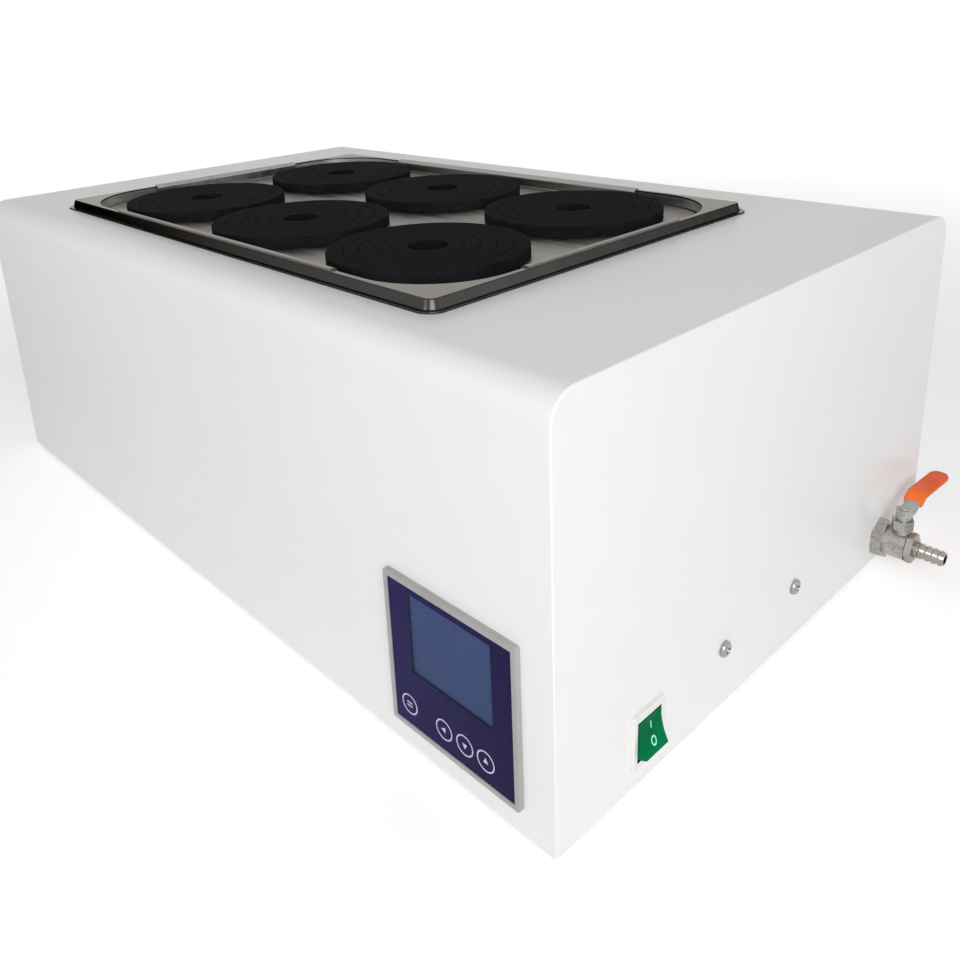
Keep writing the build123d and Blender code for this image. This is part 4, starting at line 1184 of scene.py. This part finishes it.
def build_cap(low, centre):
    """Hexagon cap that closes the valve's body, open for the bore."""
    steps = 96
    end = low + CAP_LENGTH
    points = []
    faces = []
    rows = (
        (low, BARB_BORE, 0.0),
        (low, None, CAP_CORNER),
        (low + CAP_CORNER, None, 0.0),
        (end - CAP_CORNER, None, 0.0),
        (end, None, CAP_CORNER),
        (end, BARB_BORE, 0.0),
    )
    for x, fixed, inset in rows:
        for i in range(steps):
            angle = 2 * math.pi * (i + 0.5) / steps
            side = (angle + math.pi / 6) % (math.pi / 3) - math.pi / 6
            flat = CAP_WIDTH / 2 / math.cos(side)
            radius = fixed or min(flat, CAP_CORNER_RADIUS) - inset
            points.append((x, centre.y + radius * math.sin(angle), centre.z + radius * math.cos(angle)))
    for row in range(len(rows)):
        near = row * steps
        far = (row + 1) % len(rows) * steps
        for i in range(steps):
            j = (i + 1) % steps
            faces.append([near + i, near + j, far + j, far + i])
    cap = new_piece("hose_barb_cap", points, faces)
    face_outwards(cap.data)
    smooth(cap, 25.0)
    dress(cap, finish_of("valve_cast"))
    return hand_over(cap, "case", "valve_cast")


def build_barb():
    """Hose barb with its ribs and open bore, swept round the valve's axis, behind its cap."""
    low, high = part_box("hose_barb")
    centre = middle("hose_barb")
    build_cap(low.x, centre)
    length = high.x - low.x
    pitch = (length - CAP_LENGTH - BARB_SHOULDER) / BARB_COUNT
    hidden = CAP_LENGTH - BARB_OVERLAP
    shoulder = CAP_LENGTH + BARB_SHOULDER
    section = [(BARB_BORE, hidden), (BARB_CREST, hidden), (BARB_CREST, shoulder), (BARB_ROOT, shoulder)]
    for i in range(BARB_COUNT):
        crest = shoulder + (i + 0.25) * pitch
        foot = shoulder + (i + 1) * pitch
        section += [(BARB_ROOT, crest), (BARB_CREST, crest), (BARB_ROOT, foot)]
    section[-1] = (BARB_ROOT - BARB_END_INSET, length)
    section.append((BARB_BORE, length))
    place = (low.x, centre.y, centre.z)
    along_x = (0.0, math.pi / 2, 0.0)
    barb = swept_ring(
        "hose_barb_turned", section, place, finish_of("barb_plated"), edge=0.25 * MM, steps=72, turn=along_x
    )
    hand_over(barb, "case", "valve_cast", "hose_barb")


def lever_height(reach):
    """Height of the lever's underside above the stem's level, at a distance from the stem."""
    ramp_end = LEVER_FLAT + LEVER_RAMP
    if reach < ramp_end:
        share = max(0.0, min(1.0, (reach - LEVER_FLAT) / LEVER_RAMP))
        return LEVER_RISE * share * share * (3 - 2 * share)
    return LEVER_RISE - LEVER_DROOP * (reach - ramp_end) / (LEVER_REACH - ramp_end)


def build_sleeve():
    """Dipped sleeve: a soft rounded strip that follows the lever and closes round its tip."""
    stem = middle("valve_stem")
    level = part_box("valve_lever")[0].z
    end = LEVER_REACH + SLEEVE_WALL
    half_width = LEVER_WIDTH / 2 + SLEEVE_WALL
    half_height = LEVER_SHEET / 2 + SLEEVE_WALL
    steps = 60
    around = 28
    least_width = 0.02
    least_height = 0.1
    bluntness = 0.85
    points = []
    faces = []
    for i in range(steps + 1):
        share = i / steps
        reach = SLEEVE_START + (end - SLEEVE_START) * math.sin(share * math.pi / 2)
        tip = max(0.0, (reach - (end - half_width)) / half_width)
        width = half_width * max(least_width, math.sqrt(max(0.0, 1 - tip * tip)))
        blunt = max(0.0, (reach - (end - half_height)) / half_height)
        height = half_height * max(least_height, math.sqrt(max(0.0, 1 - bluntness * blunt * blunt)))
        lip = max(0.0, 1 - (reach - SLEEVE_START) / SLEEVE_LIP_LENGTH)
        width -= SLEEVE_LIP_ROUNDING * lip * lip
        height -= SLEEVE_LIP_ROUNDING * lip * lip
        centre_z = level + lever_height(reach) + LEVER_SHEET / 2
        for k in range(around):
            angle = 2 * math.pi * k / around
            c = math.cos(angle)
            s = math.sin(angle)
            x = math.copysign(abs(c) ** SLEEVE_SQUARENESS, c) * width
            z = math.copysign(abs(s) ** SLEEVE_SQUARENESS, s) * height
            points.append((stem.x + x, stem.y + reach, centre_z + z))
    for i in range(steps):
        near = i * around
        far = near + around
        for k in range(around):
            n = (k + 1) % around
            faces.append([near + k, near + n, far + n, far + k])
    faces.append(list(range(around)))
    faces.append(list(range((steps + 1) * around - 1, steps * around - 1, -1)))
    sleeve = new_piece("lever_sleeve_dipped", points, faces)
    face_outwards(sleeve.data)
    smooth(sleeve, 60.0)
    dress(sleeve, finish_of("sleeve_vinyl"))
    hand_over(sleeve, "valve_handle", "sleeve_vinyl", "lever_sleeve")


# Mains inlet

def build_inlet():
    """Appliance inlet with bright pins in its socket."""
    inlet = softened("mains_inlet", "mains_inlet_moulding", edge=0.3 * MM)
    dress(inlet, finish_of("inlet_plastic"))
    inlet.data.materials.append(finish_of("inlet_pins"))
    centre = middle("mains_inlet")
    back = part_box("case_wrap")[1].y
    for face in inlet.data.polygons:
        place = face.center
        aside = abs(place.x - centre.x)
        on_pin = min(abs(aside - INLET_PIN_PITCH), aside) < INLET_PIN_HALF_WIDTH
        deep = back - INLET_PIN_DEPTH < place.y < back + INLET_PIN_FRONT
        level = abs(place.z - centre.z) < INLET_PIN_HALF_HEIGHT
        not_floor = abs(face.normal.y) < 0.99 or face.normal.y > 0.5
        if on_pin and deep and level and not_floor:
            face.material_index = 1
    hand_over(inlet, "case", "inlet_plastic", "mains_inlet")


# Stage

def white_rays(tree):
    """Share of rays that see the plain white background: camera, glossy and transmission rays."""
    path = tree.nodes.new("ShaderNodeLightPath")
    seen = calculate(tree, "ADD", path.outputs["Is Camera Ray"], path.outputs["Is Glossy Ray"])
    return calculate(tree, "MINIMUM", calculate(tree, "ADD", seen, path.outputs["Is Transmission Ray"]), 1.0)


def build_floor():
    """Pale floor that looks white and keeps the object's shadow."""
    stage = bpy.context.scene.bath_stage
    steps = 96
    radius = 20.0
    points = [(0.0, 0.0, 0.0)]
    for i in range(steps):
        angle = 2 * math.pi * i / steps
        points.append((radius * math.cos(angle), radius * math.sin(angle), 0.0))
    faces = [[0, i + 1, (i + 1) % steps + 1] for i in range(steps)]
    floor = new_piece("studio_floor", points, faces)
    material = bpy.data.materials.new("studio_floor_white")
    material.use_nodes = True
    tree = material.node_tree
    tree.nodes.clear()
    vector = tree.nodes.new("ShaderNodeTexCoord").outputs["Object"]
    distance = add(tree, "ShaderNodeVectorMath", {0: vector}, operation="LENGTH").outputs["Value"]
    far = stretch(tree, distance, FLOOR_FADE_START, FLOOR_FADE_END, 0.0, 1.0)
    lit = add(tree, "ShaderNodeBsdfDiffuse", {"Color": (0.8, 0.8, 0.8, 1.0)}).outputs[0]
    lift = add(tree, "ShaderNodeEmission", {"Strength": stage.floor_lift}).outputs[0]
    near_floor = add(tree, "ShaderNodeAddShader", {0: lit, 1: lift}).outputs[0]
    white = add(tree, "ShaderNodeEmission", {"Strength": 1.0}).outputs[0]
    seen = add(tree, "ShaderNodeMixShader", {0: far, 1: near_floor, 2: white}).outputs[0]
    end = add(tree, "ShaderNodeMixShader", {0: white_rays(tree), 1: lit, 2: seen}).outputs[0]
    output = tree.nodes.new("ShaderNodeOutputMaterial")
    tree.links.new(end, output.inputs["Surface"])
    dress(floor, material)


def build_world():
    """World light, paler near the horizon, behind a white background."""
    stage = bpy.context.scene.bath_stage
    world = bpy.data.worlds.new("studio_world")
    bpy.context.scene.world = world
    world.use_nodes = True
    tree = world.node_tree
    tree.nodes.clear()
    vector = tree.nodes.new("ShaderNodeTexCoord").outputs["Generated"]
    up = add(tree, "ShaderNodeSeparateXYZ", {0: vector}).outputs["Z"]
    share = stretch(tree, up, 0.15, 0.8, 0.0, 1.0)
    shade = blend_colours(tree, share, colour([stage.horizon] * 3), colour([stage.ceiling] * 3))
    light = add(tree, "ShaderNodeBackground", {"Color": shade, "Strength": 1.0}).outputs[0]
    white = add(tree, "ShaderNodeBackground", {"Color": (1.0, 1.0, 1.0, 1.0), "Strength": 1.0}).outputs[0]
    end = add(tree, "ShaderNodeMixShader", {0: white_rays(tree), 1: light, 2: white}).outputs[0]
    output = tree.nodes.new("ShaderNodeOutputWorld")
    tree.links.new(end, output.inputs["Surface"])


def area_lamp(name, place, target, size, power):
    """Soft rectangular lamp that points at a target."""
    light = bpy.data.lights.new(name, "AREA")
    light.shape = "RECTANGLE"
    light.size = size[0]
    light.size_y = size[1]
    light.energy = power
    lamp = link(bpy.data.objects.new(name, light))
    lamp.location = place
    lamp.rotation_euler = (Vector(target) - Vector(place)).to_track_quat("-Z", "Y").to_euler()
    return lamp


def build_camera():
    """Camera solved from the photograph's edges, for a square picture."""
    stage = bpy.context.scene.bath_stage
    yaw = stage.camera_yaw
    pitch = stage.camera_pitch
    roll = stage.camera_roll
    ahead = Vector((math.sin(yaw) * math.cos(pitch), math.cos(yaw) * math.cos(pitch), -math.sin(pitch)))
    right = Vector((math.cos(yaw), -math.sin(yaw), 0.0))
    down = ahead.cross(right)
    rolled_right = math.cos(roll) * right + math.sin(roll) * down
    rolled_down = -math.sin(roll) * right + math.cos(roll) * down
    data = bpy.data.cameras.new("picture_camera")
    data.lens = 34.385
    data.sensor_width = 36.0
    data.shift_x = 0.0229
    data.shift_y = -0.175
    data.clip_start = 0.01
    data.clip_end = 100.0
    camera = link(bpy.data.objects.new("picture_camera", data))
    turn = Matrix((rolled_right, -rolled_down, -ahead)).transposed()
    camera.rotation_euler = turn.to_euler()
    camera.location = stage.camera_place
    bpy.context.scene.camera = camera


def build_stage():
    """Floor, world, lamps and camera."""
    stage = bpy.context.scene.bath_stage
    bpy.context.scene.view_settings.view_transform = "Standard"
    build_floor()
    build_world()
    area_lamp(
        "key_lamp",
        place=(1.3, -0.9, 0.75),
        target=(0.2, -0.1, 0.12),
        size=(0.9, 0.9),
        power=stage.key_power,
    )
    area_lamp(
        "side_lamp",
        place=(1.6, 0.9, 0.6),
        target=(0.34, 0.05, 0.12),
        size=(0.8, 0.8),
        power=stage.side_power,
    )
    area_lamp(
        "front_lamp",
        place=(0.1, -1.0, 0.55),
        target=(0.06, -0.2, 0.12),
        size=(0.4, 0.3),
        power=stage.front_power,
    )
    build_camera()


# Values that a user would change

class BathFinishes(bpy.types.PropertyGroup):
    """Colours of the bath."""

    paint: bpy.props.FloatVectorProperty(
        name="Case paint",
        description="Colour of the painted case",
        subtype="COLOR",
        default=(0.92, 0.92, 0.915),
    )
    plate: bpy.props.FloatVectorProperty(
        name="Cover plate",
        description="Colour of the cover plate's steel",
        subtype="COLOR",
        default=(0.33, 0.32, 0.305),
    )
    # Very dark: a painted dark reflection on the surround's polished slopes
    surround: bpy.props.FloatVectorProperty(
        name="Surround",
        description="Colour of the surround's steel",
        subtype="COLOR",
        default=(0.06, 0.058, 0.056),
    )
    lid: bpy.props.FloatVectorProperty(
        name="Lid rings",
        description="Colour of the moulded lid rings",
        subtype="COLOR",
        default=(0.009, 0.0095, 0.0105),
    )
    film: bpy.props.FloatVectorProperty(
        name="Navy film",
        description="Colour of the controller's film",
        subtype="COLOR",
        default=(0.016, 0.012, 0.075),
    )
    display: bpy.props.FloatVectorProperty(
        name="Display",
        description="Colour of the display when it is off",
        subtype="COLOR",
        default=(0.045, 0.074, 0.185),
    )
    rocker: bpy.props.FloatVectorProperty(
        name="Rocker", description="Colour of the lit rocker", subtype="COLOR", default=(0.004, 0.36, 0.13)
    )
    sleeve: bpy.props.FloatVectorProperty(
        name="Lever sleeve",
        description="Colour of the lever's vinyl sleeve",
        subtype="COLOR",
        default=(0.98, 0.12, 0.02),
    )


class BathSizes(bpy.types.PropertyGroup):
    """Small sizes that the CAD source leaves out."""

    sheet_edge: bpy.props.FloatProperty(
        name="Sheet edge",
        description="Rounding of cut sheet edges",
        default=0.2 * MM,
        unit="LENGTH",
        precision=5,
    )
    cast_edge: bpy.props.FloatProperty(
        name="Cast edge",
        description="Rounding of the valve's edges",
        default=0.5 * MM,
        unit="LENGTH",
        precision=5,
    )
    ring_edge: bpy.props.FloatProperty(
        name="Ring edge",
        description="Rounding of the lid rings' edges",
        default=0.55 * MM,
        unit="LENGTH",
        precision=5,
    )
    ring_steps: bpy.props.IntProperty(
        name="Ring steps", description="Faces round each lid ring", default=144, min=24
    )
    key_line: bpy.props.FloatProperty(
        name="Key line",
        description="Width of the ring printed on each key",
        default=0.85 * MM,
        unit="LENGTH",
        precision=5,
    )
    print_rise: bpy.props.FloatProperty(
        name="Print rise",
        description="Thickness of printed marks",
        default=0.04 * MM,
        unit="LENGTH",
        precision=5,
    )
    recess_width: bpy.props.FloatProperty(
        name="Recess width",
        description="Width of the screws' cross",
        default=1.3 * MM,
        unit="LENGTH",
        precision=5,
    )
    recess_depth: bpy.props.FloatProperty(
        name="Recess depth",
        description="Depth of the screws' cross",
        default=1.9 * MM,
        unit="LENGTH",
        precision=5,
    )


class BathStage(bpy.types.PropertyGroup):
    """Light and camera."""

    key_power: bpy.props.FloatProperty(
        name="Key lamp",
        description="Power of the lamp near the camera",
        default=13.0,
        min=0.0,
        unit="POWER",
    )
    side_power: bpy.props.FloatProperty(
        name="Side lamp",
        description="Power of the lamp at the valve's end",
        default=0.5,
        min=0.0,
        unit="POWER",
    )
    front_power: bpy.props.FloatProperty(
        name="Front lamp",
        description="Power of the lamp before the middle of the front",
        default=1.0,
        min=0.0,
        unit="POWER",
    )
    horizon: bpy.props.FloatProperty(
        name="Horizon", description="Brightness of the world near the horizon", default=0.6, min=0.0
    )
    ceiling: bpy.props.FloatProperty(
        name="Ceiling", description="Brightness of the world overhead", default=0.2, min=0.0
    )
    floor_lift: bpy.props.FloatProperty(
        name="Floor lift", description="Light that whitens the floor near the bath", default=0.45, min=0.0
    )
    camera_place: bpy.props.FloatVectorProperty(
        name="Camera",
        description="Place of the camera",
        subtype="TRANSLATION",
        default=(0.5662, -0.4612, 0.391),
    )
    camera_yaw: bpy.props.FloatProperty(
        name="Yaw", description="Turn of the camera", default=math.radians(-47.455), unit="ROTATION"
    )
    camera_pitch: bpy.props.FloatProperty(
        name="Pitch",
        description="Downward tilt of the camera",
        default=math.radians(18.03),
        unit="ROTATION",
    )
    camera_roll: bpy.props.FloatProperty(
        name="Roll", description="Roll of the camera", default=math.radians(2.691), unit="ROTATION"
    )


# Operators and panel

class BathCase(bpy.types.Operator):
    """Build the painted case, the base pan and the feet"""

    bl_idname = "bath.build_case"
    bl_label = "Case"

    def execute(self, context):
        build_case()
        return {"FINISHED"}


class BathRimAndPlate(bpy.types.Operator):
    """Build the surround and the cover plate"""

    bl_idname = "bath.build_rim_and_plate"
    bl_label = "Surround and Cover Plate"

    def execute(self, context):
        build_rim_and_plate()
        return {"FINISHED"}


class BathInside(bpy.types.Operator):
    """Build the tank and what is inside the case"""

    bl_idname = "bath.build_inside"
    bl_label = "Tank and Inside"

    def execute(self, context):
        build_inside()
        return {"FINISHED"}


class BathLids(bpy.types.Operator):
    """Build the thirty lid rings"""

    bl_idname = "bath.build_lids"
    bl_label = "Lid Rings"

    def execute(self, context):
        build_lids()
        return {"FINISHED"}


class BathController(bpy.types.Operator):
    """Build the controller's bezel, film and display"""

    bl_idname = "bath.build_controller"
    bl_label = "Controller"

    def execute(self, context):
        build_controller()
        return {"FINISHED"}


class BathKeys(bpy.types.Operator):
    """Build the four keys and their marks"""

    bl_idname = "bath.build_keys"
    bl_label = "Keys"

    def execute(self, context):
        build_keys()
        return {"FINISHED"}


class BathSwitch(bpy.types.Operator):
    """Build the rocker switch"""

    bl_idname = "bath.build_switch"
    bl_label = "Rocker Switch"

    def execute(self, context):
        build_switch()
        return {"FINISHED"}


class BathScrews(bpy.types.Operator):
    """Build the two screws on the right end"""

    bl_idname = "bath.build_screws"
    bl_label = "Panel Screws"

    def execute(self, context):
        build_screws()
        return {"FINISHED"}


class BathValve(bpy.types.Operator):
    """Build the drain valve"""

    bl_idname = "bath.build_valve"
    bl_label = "Drain Valve"

    def execute(self, context):
        build_valve()
        return {"FINISHED"}


class BathInlet(bpy.types.Operator):
    """Build the mains inlet on the back"""

    bl_idname = "bath.build_inlet"
    bl_label = "Mains Inlet"

    def execute(self, context):
        build_inlet()
        return {"FINISHED"}


class BathStageSetup(bpy.types.Operator):
    """Build the floor, the light and the camera"""

    bl_idname = "bath.build_stage"
    bl_label = "Stage"

    def execute(self, context):
        build_stage()
        return {"FINISHED"}


OPERATORS = (
    BathCase,
    BathRimAndPlate,
    BathInside,
    BathLids,
    BathController,
    BathKeys,
    BathSwitch,
    BathScrews,
    BathValve,
    BathInlet,
    BathStageSetup,
)


class BathPanel(bpy.types.Panel):
    """Panel with the bath's values and build steps"""

    bl_idname = "VIEW3D_PT_water_bath"
    bl_label = "Water Bath"
    bl_space_type = "VIEW_3D"
    bl_region_type = "UI"
    bl_category = "Water Bath"

    def draw(self, context):
        for group in (context.scene.bath_finishes, context.scene.bath_sizes, context.scene.bath_stage):
            for name in group.bl_rna.properties.keys():
                if name not in ("rna_type", "name"):
                    self.layout.prop(group, name)
        for operator in OPERATORS:
            self.layout.operator(operator.bl_idname)


CLASSES = (BathFinishes, BathSizes, BathStage) + OPERATORS + (BathPanel,)


def register():
    """Registers the classes and the scene's value groups."""
    for each in CLASSES:
        bpy.utils.register_class(each)
    bpy.types.Scene.bath_finishes = bpy.props.PointerProperty(type=BathFinishes)
    bpy.types.Scene.bath_sizes = bpy.props.PointerProperty(type=BathSizes)
    bpy.types.Scene.bath_stage = bpy.props.PointerProperty(type=BathStage)


def unregister():
    """Removes what register added."""
    del bpy.types.Scene.bath_stage
    del bpy.types.Scene.bath_sizes
    del bpy.types.Scene.bath_finishes
    for each in reversed(CLASSES):
        bpy.utils.unregister_class(each)


def main():
    """Builds everything in order."""
    register()
    for operator in OPERATORS:
        group, name = operator.bl_idname.split(".")
        getattr(getattr(bpy.ops, group), name)()


if __name__ == "__main__":
    main()
